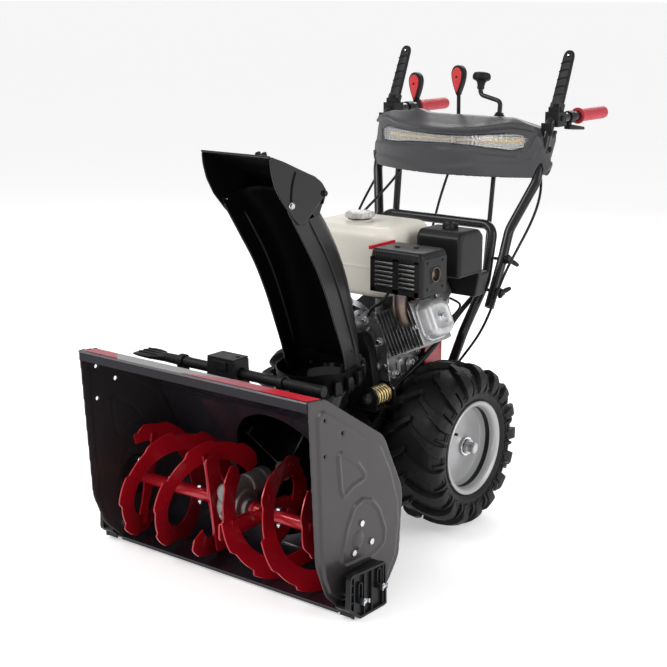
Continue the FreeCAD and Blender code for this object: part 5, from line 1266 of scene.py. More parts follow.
def guard_slots():
    """Painted shade: dark patches for the vent slots round the top edge, and a dark sheet for the shade
    behind the slats.
    """
    bm = bmesh.new()
    for k in range(15):
        x = GX0 + 16 + k * 8.2
        brick(bm, x - 2.6, x + 2.6, GY0 - 0.2, GY0 + 3.5, GZ1 - 17.5, GZ1 - 9.5,
              Matrix.Rotation(-0.45, 3, "X"))
    for k in range(10):
        y = GY0 + 14 + k * 9.0
        brick(bm, GX1 - 3.5, GX1 + 0.2, y - 3, y + 3, GZ1 - 17, GZ1 - 9, Matrix.Rotation(-0.45, 3, "Y"))
    # Near-black matte stand-in for the shade in the slots and behind the slats: painted shade.
    painted_shade = surface("guard_slot_shade", (0.004, 0.004, 0.004), 0.7, tint=0.3)
    brick(bm, GX0 + 4, GX1 - 6, GY0 + 6.5, GY0 + 8.5, GZ0 + 5, GZ1 - 17)
    piece("guard_slots", bm, painted_shade, "machine", bevel=0.8, segments=1)


def guard_bolts():
    """Bolts on the guard's top and front, and the pipe in its exhaust port."""
    bm = bmesh.new()
    for x, y in ((GX0 + 50, GY0 + 42), (GX0 + 92, GY0 + 60)):
        hex_head(bm, (x, y, GZ1 - 0.5), (0, 0, 1), 11, 4)
    hex_head(bm, (GX0 + 75, GY0 - 1.5, (GZ0 + GZ1) / 2 - 6), (0, -1, 0), 10, 5)
    piece("guard_bolts", bm, SATIN, "machine")
    bm = bmesh.new()
    rod(bm, (GX1 - 22, PORT_Y, PORT_Z), (GX1 - 3, PORT_Y, PORT_Z), 17.5, 40)
    lathe(bm, [(17.5, 0), (17.5, 6), (15.5, 6), (15.0, -14), (0, -14)], (GX1 - 3, PORT_Y, PORT_Z),
          (1, 0, 0), 40)
    piece("exhaust_port", bm, HEATED, "machine")


def cyl_point(up, across, y):
    """A point in the cylinder's frame: up its axis, across it, and along the crank."""
    c, s = cos(CYL_TILT), sin(CYL_TILT)
    return Vector((up * c - across * s, y, CRANK_Z + up * s + across * c))


CYL_AXIS = cyl_point(1, 0, 0) - cyl_point(0, 0, 0)


def from_bore(y, share):
    """Y drawn towards the bore's axis, to a share of its distance."""
    return BORE_Y + (y - BORE_Y) * share


def build_cylinder():
    """Cooling fins round the barrel and head."""
    bm = bmesh.new()
    for k in range(11):
        up = 92 + k * 9.4
        half = 50.0 if k < 7 else 54.0
        outline = rounded([(-half, BORE_Y - half), (half, BORE_Y - half), (half, BORE_Y + half),
                           (-half, BORE_Y + half)], 12, 4)
        loft(bm, [[cyl_point(up + d, a * e, from_bore(b, e)) for a, b in outline]
                  for d, e in ((-1.7, 0.97), (-1.1, 1.0), (1.1, 1.0), (1.7, 0.97))])
    piece("cooling_fins", bm, FIN_BLACK, "machine")


def build_valve_cover():
    """Pressed cover with a raised face, a flange and the centre bolt."""
    bm = bmesh.new()
    outline = rounded([(-36, -109), (36, -106), (47, -80), (46, -38), (30, -8), (-34, -10), (-48, -36),
                       (-48, -84)], [20, 20, 22, 20, 22, 22, 20, 22], 6)
    rings = []
    for up, inset in ((203, 0), (206, -2.6), (209, -2.6), (211, 0.6), (227, 2.2), (236, 5.5), (240.5, 11),
                      (241.6, 18), (239.0, 23), (238.8, 30)):
        rings.append([cyl_point(up, a, b) for a, b in shrunk(outline, inset + 0.001)])
    loft(bm, rings)
    for a, b in ((-34, -98), (34, -96), (30, -20), (-32, -22)):
        button(bm, cyl_point(207, a * 1.08, from_bore(b, 1.06)), CYL_AXIS, 7, 6.4, 7, 7.6, 20)
    piece("rocker_cover", bm, ALLOY, "machine", ("valve_cover",))
    bm = bmesh.new()
    hex_head(bm, cyl_point(239.0, -2, BORE_Y), CYL_AXIS, 15, 9)
    lathe(bm, [(0, 0), (13, 0), (13.4, 1), (12.8, 2), (0, 2.2)], cyl_point(238.8, -2, BORE_Y), CYL_AXIS, 32)
    piece("rocker_bolt", bm, BRIGHT, "machine")


def build_air_cleaner():
    """Tall cover with a seam and a lobed knob on top."""
    def shape(p):
        x, y, z = p
        if z < 735:
            outward = Vector((x - 178, y - 47, 0))
            if outward.length > 1:
                p = p + outward.normalized() * (1.4 * exp(-((z - 628) / 2.2) ** 2))
        return p
    recast("air_cleaner", "air_box", 2.4, 7, SATIN, "machine", shape)
    bm = bmesh.new()
    centre = Vector((172, 40, 732))
    lobed(bm, centre, 19.0, 3.2, 6, ((0, 0.7), (2, 0.95), (8, 1.0), (11, 0.92), (12.5, 0.7)), 72)
    rod(bm, centre, centre + Vector((0, 0, 17)), 5.0, 24, 1.5)
    piece("air_knob", bm, PLASTIC, "machine")


def muffler_pipe():
    """Muffler can inside its guard, with the pipe that drops to the head and its flange."""
    bm = bmesh.new()
    can = rounded([(106, -166), (226, -166), (226, -84), (106, -84)], 22, 5)
    rings = [[Vector((a, b, z)) for a, b in shrunk(can, inset + 0.01)]
             for z, inset in ((604, 8), (607, 2), (612, 0), (680, 0), (686, 3), (689, 9))]
    loft(bm, rings)
    line = smooth_path([(143, -126, 612), (143, -127, 585), (143, -126, 558), (145, -118, 534),
                        (152, -100, 520), (160, -84, 514)], 8)
    pipe(bm, line, 16.5, 32)
    normal = Vector((0.25, 0.85, -0.3)).normalized()
    lathe(bm, [(0, -4), (25, -4), (26, -2), (26, 3), (25, 5), (0, 5)], (155, -94, 517), normal, 36)
    piece("muffler_pipe", bm, HEATED, "machine", ("muffler",), bevel=0.6, segments=1)
    bm = bmesh.new()
    hex_head(bm, (176, -106, 512), (0.2, -0.9, 0.1), 13, 8)
    hex_head(bm, (132, -100, 508), (0.0, -0.95, 0.1), 13, 8)
    piece("pipe_nuts", bm, BRIGHT, "machine")


def slim_head(p):
    """Draws the joint face of the head in under its cover."""
    c, s = cos(CYL_TILT), sin(CYL_TILT)
    up = p.x * c + (p.z - CRANK_Z) * s
    across = -p.x * s + (p.z - CRANK_Z) * c
    if up > 203 and p.z > CRANK_Z:
        k = 1 - 0.45 * step(up, 203, 210)
        low = min(up, 210.0) + 0.1 * max(0.0, up - 210.0)
        return cyl_point(low, across * k, from_bore(p.y, k))
    return p


def build_castings():
    muffler_pipe()
    recast("engine_block", "engine_casting", 2.6, 3, DARK_ALLOY, "machine", slim_head)
    recast("fan_shroud", "shroud", 2.0, 3, SHROUD, "machine")
    recast("recoil_cover", "starter_cover", 2.2, 3, SATIN, "machine")
    recast("belt_cover", "belt_guard", 2.2, 3, PLASTIC, "machine")


def round_crank(r, y, a):
    """A point at a radius and an angle round the crankshaft's axis."""
    return Vector((r * cos(a), y, CRANK_Z + r * sin(a)))


def build_starter_detail():
    """Vents as dark patches of painted shade, hub plate and screws of the starter cover."""
    bm = bmesh.new()
    for ring_r, count in ((34, 10), (56, 16)):
        for k in range(count):
            a = 2 * PI * k / count
            at = round_crank(ring_r, 141.4, a)
            turn = Matrix.Rotation(-a, 3, "Y")
            brick(bm, at.x - 7, at.x + 7, at.y - 0.6, at.y + 0.9, at.z - 3, at.z + 3, turn)
    # Near-black matte patches for the shade in the vent openings: painted shade.
    dark = surface("starter_vent_shade", (0.005, 0.005, 0.005), 0.7, tint=0.3)
    piece("starter_vents", bm, dark, "machine", bevel=0.6, segments=1)
    bm = bmesh.new()
    lathe(bm, [(0, 0), (20, 0), (20, 1.5), (16, 3.2), (0, 3.2)], (0, 141.6, CRANK_Z), (0, 1, 0), 48)
    for k in range(3):
        hex_head(bm, round_crank(84, 128, PI / 2 + 2 * PI * k / 3), (0, 1, 0), 9, 5)
    piece("starter_trim", bm, SATIN, "machine")


def build_engine_detail():
    """Plug lead, bolts and the red strip by the tank."""
    bm = bmesh.new()
    path = smooth_path([(96, -104, 588), (80, -116, 560), (48, -112, 540), (18, -96, 500)], 8)
    pipe(bm, path, 3.6, 14)
    path = smooth_path([(148, 60, 556), (176, 84, 534), (150, 96, 500), (118, 94, 476)], 8)
    pipe(bm, path, 3.0, 12)
    piece("engine_leads", bm, CABLE, "machine")
    bm = bmesh.new()
    for x, z in ((-84, 360), (-96, 430), (-70, 500), (76, 352), (84, 400), (0, 520), (20, 346)):
        hex_head(bm, (x, -102.5, z), (0, -1, 0), 12, 7)
    for y in (-96, -30, 40):
        for x in (96, -96):
            hex_head(bm, (x, y, 322), (0, 0, 1), 13, 7)
    piece("engine_bolts", bm, BRIGHT, "machine")
    bm = bmesh.new()
    brick(bm, 86, 91, -176, -74, 700, 709)
    piece("tank_strip", bm, DECAL_RED, "machine", bevel=0.8)


def cover_spots(y):
    """Bolt places round the crankcase cover, without those behind the cylinder."""
    spots = [round_crank(74, y, radians(18 + 360 * k / 7)) for k in range(7)]
    return [p for p in spots if p.z < 512]


def case_bosses():
    """Bosses and ribs of the crankcase's front and side, and their bolts."""
    bm = bmesh.new()
    for at in cover_spots(-105):
        button(bm, at, (0, -1, 0), 10, 9.4, 6, 6, 22)
    for k in range(8):
        a = radians(10 + 45 * k)
        foot = round_crank(30, -106, a)
        tip = round_crank(66, -106, a)
        sweep(bm, [foot, (foot + tip) / 2, tip], oval(2.4, 4.0, 8), up=(0, 1, 0))
    for y, z, r in ((-78, 330, 13), (-46, 352, 17), (-8, 336, 12), (-84, 380, 9), (-20, 392, 14),
                    (-58, 404, 10), (-88, 428, 8), (-32, 432, 11), (2, 420, 9)):
        base = 100 if z < 400 else 93
        lathe(bm, [(0, 0), (r + 1.5, 0), (r, 3), (r * 0.92, 9), (r * 0.6, 10.5), (0, 10.5)], (base - 2, y, z),
              (1, 0, 0), 26)
    for z in (318, 344, 372):
        brick(bm, 98, 107, -98, 14, z - 1.8, z + 1.8)
    for y in (-70, -30, 6):
        brick(bm, 98, 106, y - 1.8, y + 1.8, 306, 404)
    piece("case_bosses", bm, ALLOY, "machine", bevel=0.9)
    bm = bmesh.new()
    for y, z in ((-46, 352), (-20, 392), (-84, 380), (-8, 336), (-78, 330), (2, 420)):
        hex_head(bm, (108, y, z), (1, 0, 0), 11, 6)
    for at in cover_spots(-111):
        hex_head(bm, at, (0, -1, 0), 11, 6)
    piece("case_bolts", bm, BRIGHT, "machine")


def case_fittings():
    """Oil filler and plug of the crankcase, and the plate in front of the cylinder."""
    bm = bmesh.new()
    lathe(bm, [(0, 0), (15, 0), (15.6, 2), (14.6, 4), (14.6, 12), (16.8, 14), (16.8, 22), (15, 24), (0, 24)],
          (101, -72, 334), (0.92, -0.3, 0.25), 30)
    lathe(bm, [(0, 0), (9, 0), (9, 16), (7, 18), (0, 18)], (94, 6, 452), (1, 0, 0.1), 22)
    piece("case_filler", bm, PLASTIC, "machine", bevel=0.5, segments=1)
    bm = bmesh.new()
    front_line = [(-118, 452), (-40, 470), (40, 512), (78, 548), (-58, 549), (-116, 500)]
    prism(bm, rounded(front_line, 10, 4), "XZ", 19.0, 23.5)
    piece("fan_plate", bm, SATIN, "machine", bevel=0.8)


def governor_arm():
    """Bright throttle arm with its two pivots and the fine spring."""
    bm = bmesh.new()
    arm = [(-64, -98, 532), (-30, -100, 545), (8, -100, 540), (30, -98, 520)]
    sweep(bm, smooth_path(arm, 6), [(7.0, -1.4), (7.0, 1.4), (-7.0, 1.4), (-7.0, -1.4)], up=(0, 1, 0))
    button(bm, (-30, -104, 545), (0, -1, 0), 9, 9, 4, 4, 24)
    button(bm, (28, -102, 521), (0, -1, 0), 8, 8, 4, 4, 24)
    coil = []
    for k in range(18):
        t = k / 17
        turn = 2 * PI * t * 9
        coil.append(Vector((-64 - 26 * t + 3.0 * cos(turn), -99, 532 - 40 * t + 3.0 * sin(turn))))
    for last, here in zip(coil, coil[1:]):
        pipe(bm, [last, (last + here) / 2, here], 1.0, 6)
    piece("governor_arm", bm, BRIGHT, "machine", bevel=0.3, segments=1)


def build_engine():
    build_castings()
    case_bosses()
    case_fittings()
    governor_arm()
    build_tank()
    guard_box()
    guard_slats()
    guard_side()
    guard_slots()
    guard_bolts()
    build_cylinder()
    build_valve_cover()
    build_air_cleaner()
    build_starter_detail()
    build_engine_detail()


# ---- Auger housing ----
HOUSING_HALF = 334.0
LIP_Y = -711.0
PLATE_IN, PLATE_OUT = 334.0, 337.0
# Plain colour fields of the top strip: X, and the share of the way from the front edge to the fold.
DECALS = ((DECAL_PINK, "decal_far", [(-322, 0.08), (-214, 0.08), (-262, 0.9), (-322, 0.9)]),
          (DECAL_PINK, "decal_wedge", [(-20, 0.06), (206, 0.06), (206, 0.92), (96, 0.92)]),
          (DECAL_RED, "decal_near", [(207, 0.06), (330, 0.06), (330, 0.92), (207, 0.92)]))
PANEL_LINE = [(-683, 462), (-664, 470), (-566, 408), (-466, 342), (-430, 278), (-402, 202), (-398, 150),
              (-410, 78), (-440, 34), (-600, 34), (-642, 66), (-660, 104), (-670, 160), (-677, 320)]
UPPER_LINE = [(-622, 362), (-608, 370), (-549, 331), (-522, 300), (-524, 284), (-566, 278), (-588, 268),
              (-603, 262), (-613, 286)]
LOWER_LINE = [(-608, 104), (-605, 150), (-591, 196), (-565, 238), (-534, 246), (-499, 234), (-472, 205),
              (-448, 151), (-452, 116), (-493, 101), (-565, 101)]


def inside_depth(y, z, outline):
    """Distance from a point to an outline, positive inside it."""
    best = 1e9
    inside = False
    count = len(outline)
    for i in range(count):
        y0, z0 = outline[i - 1]
        y1, z1 = outline[i]
        dy, dz = y1 - y0, z1 - z0
        t = max(0.0, min(1.0, ((y - y0) * dy + (z - z0) * dz) / (dy * dy + dz * dz)))
        best = min(best, hypot(y - y0 - t * dy, z - z0 - t * dz))
        if (z0 > z) != (z1 > z) and y < y0 + (z - z0) / dz * dy:
            inside = not inside
    return best if inside else -best


def build_side_plates():
    """Plates with a raised panel and two pressed fields, all with soft edges."""
    panel = rounded(PANEL_LINE, 20, 4)
    fields = (rounded(UPPER_LINE, 12, 4), rounded(LOWER_LINE, 18, 4))

    def press(p):
        """Relief of the pressing at a point of the plate."""
        if abs(p.x) < PLATE_IN - 4:
            return p
        raised = 3.6 * step(inside_depth(p.y, p.z, panel), -4.0, 4.0)
        for field in fields:
            depth = inside_depth(p.y, p.z, field)
            raised += 3.4 * step(depth, -3.5, 3.5) - 2.2 * step(depth, 5.0, 13.0)
        out = step(abs(p.x), PLATE_IN, PLATE_OUT)
        flat = min(abs(p.x), PLATE_OUT) - 0.6 + raised * (0.25 + 0.75 * out)
        p.x = copysign(flat, p.x)
        return p
    recast("side_plates", "pressed_plates", 2.4, 2, HOUSING, "machine", press)


def on_strip(x, along):
    """A point just above the top strip, with along 0 at the front edge and 1 at the fold."""
    return Vector((x, -709.5 + 52.5 * along, 497.3 - 6.4 * along))


def build_housing():
    """Folded front edge, decals on the top strip, and the studs and caps of the bearings."""
    bm = bmesh.new()
    sweep(bm, [(-HOUSING_HALF + 2 * HOUSING_HALF * i / 8, LIP_Y, 495.0) for i in range(9)], circle(2.4, 12))
    piece("front_roll", bm, STRIP, "machine")
    bm = bmesh.new()
    wide = HOUSING_HALF - 0.6
    lip = [(-wide, 474.4), (wide, 474.4), (wide, 493.4), (-wide, 493.4)]
    prism(bm, rounded(lip, 1.5, 3), "XZ", LIP_Y - 0.8, LIP_Y - 0.1)
    piece("front_lip", bm, LIP_DARK, "machine")
    for material, name, outline in DECALS:
        bm = bmesh.new()
        low = [on_strip(x, a) for x, a in outline]
        loft(bm, [low, [p + Vector((0, 0.05, 0.8)) for p in low]])
        piece(name, bm, material, "machine")
    bm = bmesh.new()
    for side in (-1, 1):
        for y, z in ((-538, 190), (-503, 138), (-565, 131)):
            hex_head(bm, (side * 329.0, y, z), (-side, 0, 0), 12, 7)
    piece("bearing_nuts", bm, BRIGHT, "machine")
    bm = bmesh.new()
    for side in (-1, 1):
        lathe(bm, [(25, 0), (24, 1.6), (20, 3.4), (12, 5.2), (0, 5.8)], (side * 338.6, AUGER_Y, AUGER_Z),
              (side, 0, 0), 48)
    piece("shaft_caps", bm, HOUSING, "machine")


# The sole's lowest points, kept just above the ground.
SOLE_Z = 0.02


def skid_shoe(name, side):
    """Moulded shoe: framed face with upright ribs, slots with raised lips and a turned up toe."""
    bm = bmesh.new()
    outline = rounded([(-626, 108), (-498, 101), (-496, 2), (-506, 0), (-592, 0), (-630, 30)],
                      [12, 9, 3, 3, 14, 16], 5)
    prism(bm, outline, "YZ", 368.5, 372.5)
    frame_levels = ((372, 0.0), (379.4, 0.0), (380.0, 0.8), (380.0, 5.2), (379.4, 6.0), (372, 6.4))
    stepped(bm, outline, "YZ", frame_levels)
    for y in (-611, -575, -549, -509):
        brick(bm, 371, 378.6, y - 1.5, y + 1.5, 6, 100)
    for z in (24, 44, 64, 84):
        brick(bm, 371, 377.5, -622, -611, z - 1.4, z + 1.4)
    for y, z in ((-588, 42), (-522, 53)):
        slot = rounded([(y - 7.5, z - 9), (y + 7.5, z - 9), (y + 7.5, z + 40), (y - 7.5, z + 40)], 7.4, 6)
        stepped(bm, slot, "YZ", ((372, 0), (378, 0), (378, 2.8), (372, 2.8)))
        brick(bm, 372.4, 372.9, y - 4.4, y + 4.4, z - 5, z + 36)
    sole = rounded([(-628, 30), (-592, 0), (-496, 0), (-496, 9), (-590, 9), (-621, 36)], 2, 3)
    prism(bm, sole, "YZ", 340.2, 370)
    for y in (-612, -590, -570, -548, -524, -500):
        brick(bm, 341, 370, y, y + 4, 7, 34)
    brick(bm, 341, 370, -600, -498, 90, 96)
    for vert in bm.verts:
        vert.co.z = max(vert.co.z, SOLE_Z)
    mirror_x(bm, side)
    word = side_word(side)
    piece(name, bm, SATIN, "shoe_" + word, ("skid_shoe_" + word,), bevel=0.6,
          segments=1)


# ---- Chute ----
CHUTE_LEAN = radians(24)
CHUTE_ROUND = 42.0
# Front edge, height, depth and half width of the channel at its stations.
CHUTE_LINE = [(-258, 392, 88, 90), (-268, 410, 84, 93), (-283, 464, 88, 95), (-307, 525, 98, 95),
              (-340, 605, 106, 95), (-380, 683, 108, 95), (-427, 753, 108, 95), (-455, 794, 100, 95),
              (-474, 822, 96, 95), (-484, 842, 98, 94.5)]
HINGE = (-359.0, 854.0)
HOOD_HALF = 98.6
HOOD_CHEEK = [(-541, 951), (-392, 894), (-370, 880), (-354, 862), (-352, 848), (-372, 838), (-430, 792),
              (-444, 794), (-470, 816), (-506, 854), (-528, 890), (-538, 922)]


def chute_section(front, height, deep, half, inset):
    """U shaped section, open to the front; it lies square to the channel's run."""
    tilt = CHUTE_LEAN - radians(12.8) * step(height, 798, 842)
    r = CHUTE_ROUND - inset
    side = half - inset
    back = deep - inset
    pts = [(-side, 0.0)]
    for centre, start in ((-side + r, PI), (side - r, PI / 2)):
        for k in range(9):
            a = start - PI / 2 * k / 8
            pts.append((centre + r * cos(a), back - r + r * sin(a)))
    pts.append((side, 0.0))
    return [Vector((x, front + d * cos(tilt), height + d * sin(tilt))) for x, d in pts]


def chute_stations():
    """The chute's sections, eased between the given ones."""
    out = []
    rows = [CHUTE_LINE[0]] + CHUTE_LINE + [CHUTE_LINE[-1]]
    for a, b, c, d in zip(rows, rows[1:], rows[2:], rows[3:]):
        for i in range(4):
            t = i / 4
            out.append([0.5 * (2 * q + (r - p) * t + (2 * p - 5 * q + 4 * r - s) * t * t
                               + (3 * q - 3 * r + s - p) * t ** 3) for p, q, r, s in zip(a, b, c, d)])
    out.append(list(CHUTE_LINE[-1]))
    return out


def faded(t, rate):
    """Full size along a bead, drawn in at both its ends."""
    return min(1.0, 0.05 + rate * t, 0.05 + rate * (1 - t))


def chute_walls(stations, outer, inner):
    """Closed sections of a wall between two insets of the channel."""
    return [chute_section(*station, outer) + list(reversed(chute_section(*station, inner)))
            for station in stations]


def chute_body():
    """Channel with a rolled front edge and the pressed rib on each cheek, and its inner face in a darker copy
    of the paint, as painted shade.
    """
    bm = bmesh.new()
    stations = chute_stations()
    loft(bm, chute_walls(stations, 0.0, 1.6))
    for side in (-1, 1):
        edge = []
        rib = []
        for front, height, _, half in stations[2:-3]:
            edge.append((side * (half - 1.2), front + 1.0, height))
            rib.append((side * (half - 0.6), front + 42 * cos(CHUTE_LEAN),
                        height + 42 * sin(CHUTE_LEAN)))
        sweep(bm, edge, circle(2.3, 10))
        sweep(bm, rib[3:-5], oval(2.6, 5.0, 12), up=(1, 0, 0), scale=lambda t: faded(t, 7))
    piece("chute_channel", bm, CHUTE_OUT, "chute", ("chute",), bevel=0.5, segments=1)
    bm = bmesh.new()
    loft(bm, chute_walls(stations, 1.6, 2.4))
    piece("chute_inside_shade", bm, SHADE_BLACK, "chute")


def chute_fittings():
    """Hinge ears at the chute's top and rivets at its foot."""
    bm = bmesh.new()
    ear = rounded([(-420, 852), (-388, 861), (-366, 863), (-351, 856), (-353, 843), (-372, 806), (-420, 800)],
                  6, 4)
    for side in (-1, 1):
        prism(bm, ear, "YZ", side * 93.0, side * 95.0)
    piece("chute_ears", bm, BLACK, "chute", bevel=0.4, segments=1)
    bm = bmesh.new()
    for side in (-1, 1):
        for y, z in ((-262, 428), (-250, 470)):
            button(bm, (side * 94.6, y, z), (side, 0, 0), 4.2, 3.8, 1.6, 2.4, 18)
    piece("chute_rivets", bm, SATIN, "chute")


def hood_slot():
    """Curved slot of the tilt bolt, as a closed outline about the hinge."""
    outer = []
    inner = []
    for k in range(13):
        a = radians(189.0 - 39.0 * k / 12)
        for line, r in ((outer, 118.6), (inner, 111.0)):
            line.append((HINGE[0] + r * cos(a), HINGE[1] + r * sin(a)))
    return outer + list(reversed(inner))


def roof_rings():
    """Sections of the hood's curved roof; points 3 and 2 are on its lower face."""
    roof = [(-541, 951), (-500, 938), (-450, 918), (-405, 900), (-382, 889), (-366, 878), (-357, 866),
            (-354, 852), (-357, 840), (-362, 830)]
    path = smooth_path([(0, y, z) for y, z in roof], 4)
    rings = []
    for i, p in enumerate(path):
        d = (path[min(i + 1, len(path) - 1)] - path[max(i - 1, 0)]).normalized()
        down = Vector((0, -d.z, d.y)) * -2.4
        left = Vector((-HOOD_HALF, p.y, p.z))
        right = Vector((HOOD_HALF, p.y, p.z))
        rings.append([left, right, right + down, left + down])
    return rings


def deflector_hood():
    """Curved roof between two cheeks, with rolled lower edges and a lining in a darker copy of the paint, as
    painted shade.
    """
    bm = bmesh.new()
    rings = roof_rings()
    loft(bm, rings)
    cheek = rounded(HOOD_CHEEK, [5, 40, 14, 10, 8, 14, 10, 12, 40, 60, 60, 60], 6)
    for side in (-1, 1):
        prism(bm, cheek, "YZ", side * 96.4, side * 99.0)
        lip = [Vector((side * 98.0, y, z)) for y, z in cheek]
        sweep(bm, lip + lip[:1], circle(1.5, 8))
    sweep(bm, [Vector((x, -541.5, 950.5)) for x in (-98, -50, 0, 50, 98)], circle(2.4, 10))
    bead = [(-84 + 168 * k / 8, -505, 940.4) for k in range(9)]
    sweep(bm, bead, oval(6, 1.6, 12), up=(0, 0, 1), scale=lambda t: faded(t, 6))
    piece("hood", bm, BLACK, "deflector", ("deflector",), bevel=0.5, segments=1)
    bm = bmesh.new()
    lined = []
    for top, _, b, a in rings:
        down = (a - top).normalized() * 0.7
        lined.append([a, b, b + down, a + down])
    loft(bm, lined)
    for side in (-1, 1):
        prism(bm, shrunk(cheek, 2.0), "YZ", side * 95.7, side * 96.4)
    piece("hood_lining_shade", bm, SHADE_BLACK, "deflector")


def hood_fittings():
    """Tilt slots in the cheeks as dark patches of painted shade, and the cable's bracket on the roof."""
    bm = bmesh.new()
    for side in (-1, 1):
        outline = [on_plane("YZ", y, z, side * 98.9) for y, z in hood_slot()]
        loft(bm, [outline, [p + Vector((side * 0.5, 0, 0)) for p in outline]])
    # Near-black matte patch for the shade in the tilt slots: painted shade.
    painted_shade = surface("tilt_slot_shade", (0.003, 0.003, 0.003), 0.8, tint=0.3, specular=0.1)
    piece("hood_slots", bm, painted_shade, "deflector")
    bm = bmesh.new()
    tab = rounded([(-404, 896), (-380, 885), (-374, 916), (-380, 938), (-396, 936)], 4, 4)
    for x in (-70, -52):
        prism(bm, tab, "YZ", x - 1.2, x + 1.2)
    rod(bm, (-74, -386, 926), (-48, -386, 926), 4.5, 18, 1.0)
    piece("hood_bracket", bm, SATIN, "deflector", bevel=0.4, segments=1)


def deflector_bolts():
    """Bright bolts in the tilt slots and black ones at the hinge."""
    for name, material, y, z in (("slot_bolts", BRIGHT, -473, 839), ("hinge_pins", SATIN, *HINGE)):
        bm = bmesh.new()
        for side in (-1, 1):
            rod(bm, (side * 84, y, z), (side * 99, y, z), 3.0, 16)
            hex_head(bm, (side * 99, y, z), (side, 0, 0), 12, 6)
        stands_for = ("hinge_bolts",) if material is BRIGHT else ()
        piece(name, bm, material, "chute", stands_for)


CHUTE_AXIS_TILT = radians(12)
RING_CENTRE = Vector((0, -255, 388))
RING_TEETH = 20


def ring_gear():
    """Turning collar with chunky teeth flared outwards, as a bevel gear of flat tabs."""
    tilt = Matrix.Rotation(CHUTE_AXIS_TILT, 3, "X")

    def at(r, a, h):
        return RING_CENTRE + tilt @ Vector((r * cos(a), r * sin(a), h))
    bm = bmesh.new()
    rings = []
    section = ((87, -3.5), (107, -3.5), (109, -1), (108, 2), (101, 3.5), (99.8, 12), (99.2, 38), (97.6, 41.5),
               (96.2, 38), (96.6, 4), (87, 2))
    for k in range(96):
        a = 2 * PI * k / 96
        taller = 1 + 0.3 * step(-sin(a), 0.15, 0.75)
        rings.append([at(r, a, h if h < 4 else 4 + (h - 4) * taller) for r, h in section])
    ring_loop(bm, rings)
    # The collar is drawn in the painted shade copy of the black paint.
    piece("ring_collar", bm, SHADE_BLACK, "chute", ("chute_ring",), bevel=0.7)
    bm = bmesh.new()
    for i in range(RING_TEETH):
        a = 2 * PI * (i + 0.5) / RING_TEETH
        tooth = []
        for h, r, wide, thick in ((-8, 103, 9.6, 4.6), (-2, 106, 9.8, 5.6), (8, 109, 9.2, 5.6),
                                  (22, 111, 8.0, 4.6), (31, 111.5, 5.8, 3.2)):
            corners = ((-wide, -thick), (wide, -thick), (wide, thick), (-wide, thick))
            tooth.append([at(r + d, a + w / 110.0, h) for w, d in corners])
        loft(bm, tooth)
    piece("ring_teeth", bm, SATIN, "chute", bevel=0.7)
    bm = bmesh.new()
    for i in range(6):
        hex_head(bm, at(93, radians(20 + 60 * i), 3.0), tilt @ Vector((0, 0, 1)), 10, 6)
    piece("ring_bolts", bm, SATIN, "chute")


WORM_X, WORM_Z = 130, 356


def drive_detail():
    """Bright sleeve and pin at the end of the chute drive, and nuts on its bracket."""
    bm = bmesh.new()
    lathe(bm, [(7, 0), (11.4, 0), (11.8, 1), (11.8, 19), (10.2, 20.5), (7, 20.5)], (WORM_X, -160, WORM_Z),
          (0, 1, 0), 32)
    rod(bm, (WORM_X - 15, -150, WORM_Z), (WORM_X + 15, -150, WORM_Z), 2.6, 16, 0.6)
    piece("drive_sleeve", bm, BRIGHT, "chute_worm")
    bm = bmesh.new()
    lathe(bm, [(7.2, 0), (13, 0), (13, 1.4), (7.2, 1.6)], (WORM_X, -234.8, WORM_Z), (0, -1, 0), 28)
    for x, y in ((106, -216), (86, -180)):
        hex_head(bm, (x, y, 332), (0, 0, 1), 11, 6)
    piece("drive_bolts", bm, BRIGHT, "machine")


# ---- Clean out tool ----
TOOL_Y, TOOL_Z = -533.0, 460.0


def build_tool():
    """Turned shaft with collars and a ribbed spatula blade."""
    bm = bmesh.new()
    section = [(0, 0), (11.5, 0), (12.8, 1.8), (12.8, 60), (12.2, 62), (12.2, 150), (12.6, 152), (12.6, 166),
               (12.2, 168), (12.2, 392), (12.5, 394), (12.5, 404), (12.2, 406), (11.2, 470), (9.5, 486),
               (0, 486)]
    lathe(bm, section, (236, TOOL_Y, TOOL_Z), (-1, 0, 0), 40)
    rings = []
    for x, wide, thick, lift in ((-228, 11, 9, 0), (-244, 17, 8, 0), (-262, 29, 6, 1), (-282, 34, 4.6, 2),
                                 (-302, 34, 3.6, 2.5), (-315, 31, 2.4, 2.5)):
        rings.append([(x, TOOL_Y + wide * copysign(abs(a) ** 0.45, a),
                       TOOL_Z + lift + thick * copysign(abs(b) ** 0.6, b)) for a, b in circle(1.0, 28)])
    loft(bm, rings)
    for y in (-16, 0, 16):
        brick(bm, -308, -250, TOOL_Y + y - 1.6, TOOL_Y + y + 1.6, TOOL_Z + 3, TOOL_Z + 9)
    piece("tool", bm, PLASTIC, "clean_out_tool", ("clean_out_tool",), bevel=0.6, segments=1)


def build_clips():
    """The tool's clips and the lid of the middle one, with its latch and rivet."""
    recast("tool_clips", "clips", 1.8, 3, PLASTIC, "machine")
    bm = bmesh.new()
    brick(bm, -79, -1, TOOL_Y - 26, TOOL_Y + 26, TOOL_Z + 32.6, TOOL_Z + 36.0)
    brick(bm, -60, -20, TOOL_Y - 29.6, TOOL_Y - 24, TOOL_Z + 8, TOOL_Z + 28)
    button(bm, (-14, TOOL_Y + 6, TOOL_Z + 35.6), (0, 0, 1), 5.4, 5.0, 2.2, 2.8, 20)
    piece("clip_lid", bm, PLASTIC, "machine", bevel=1.0)


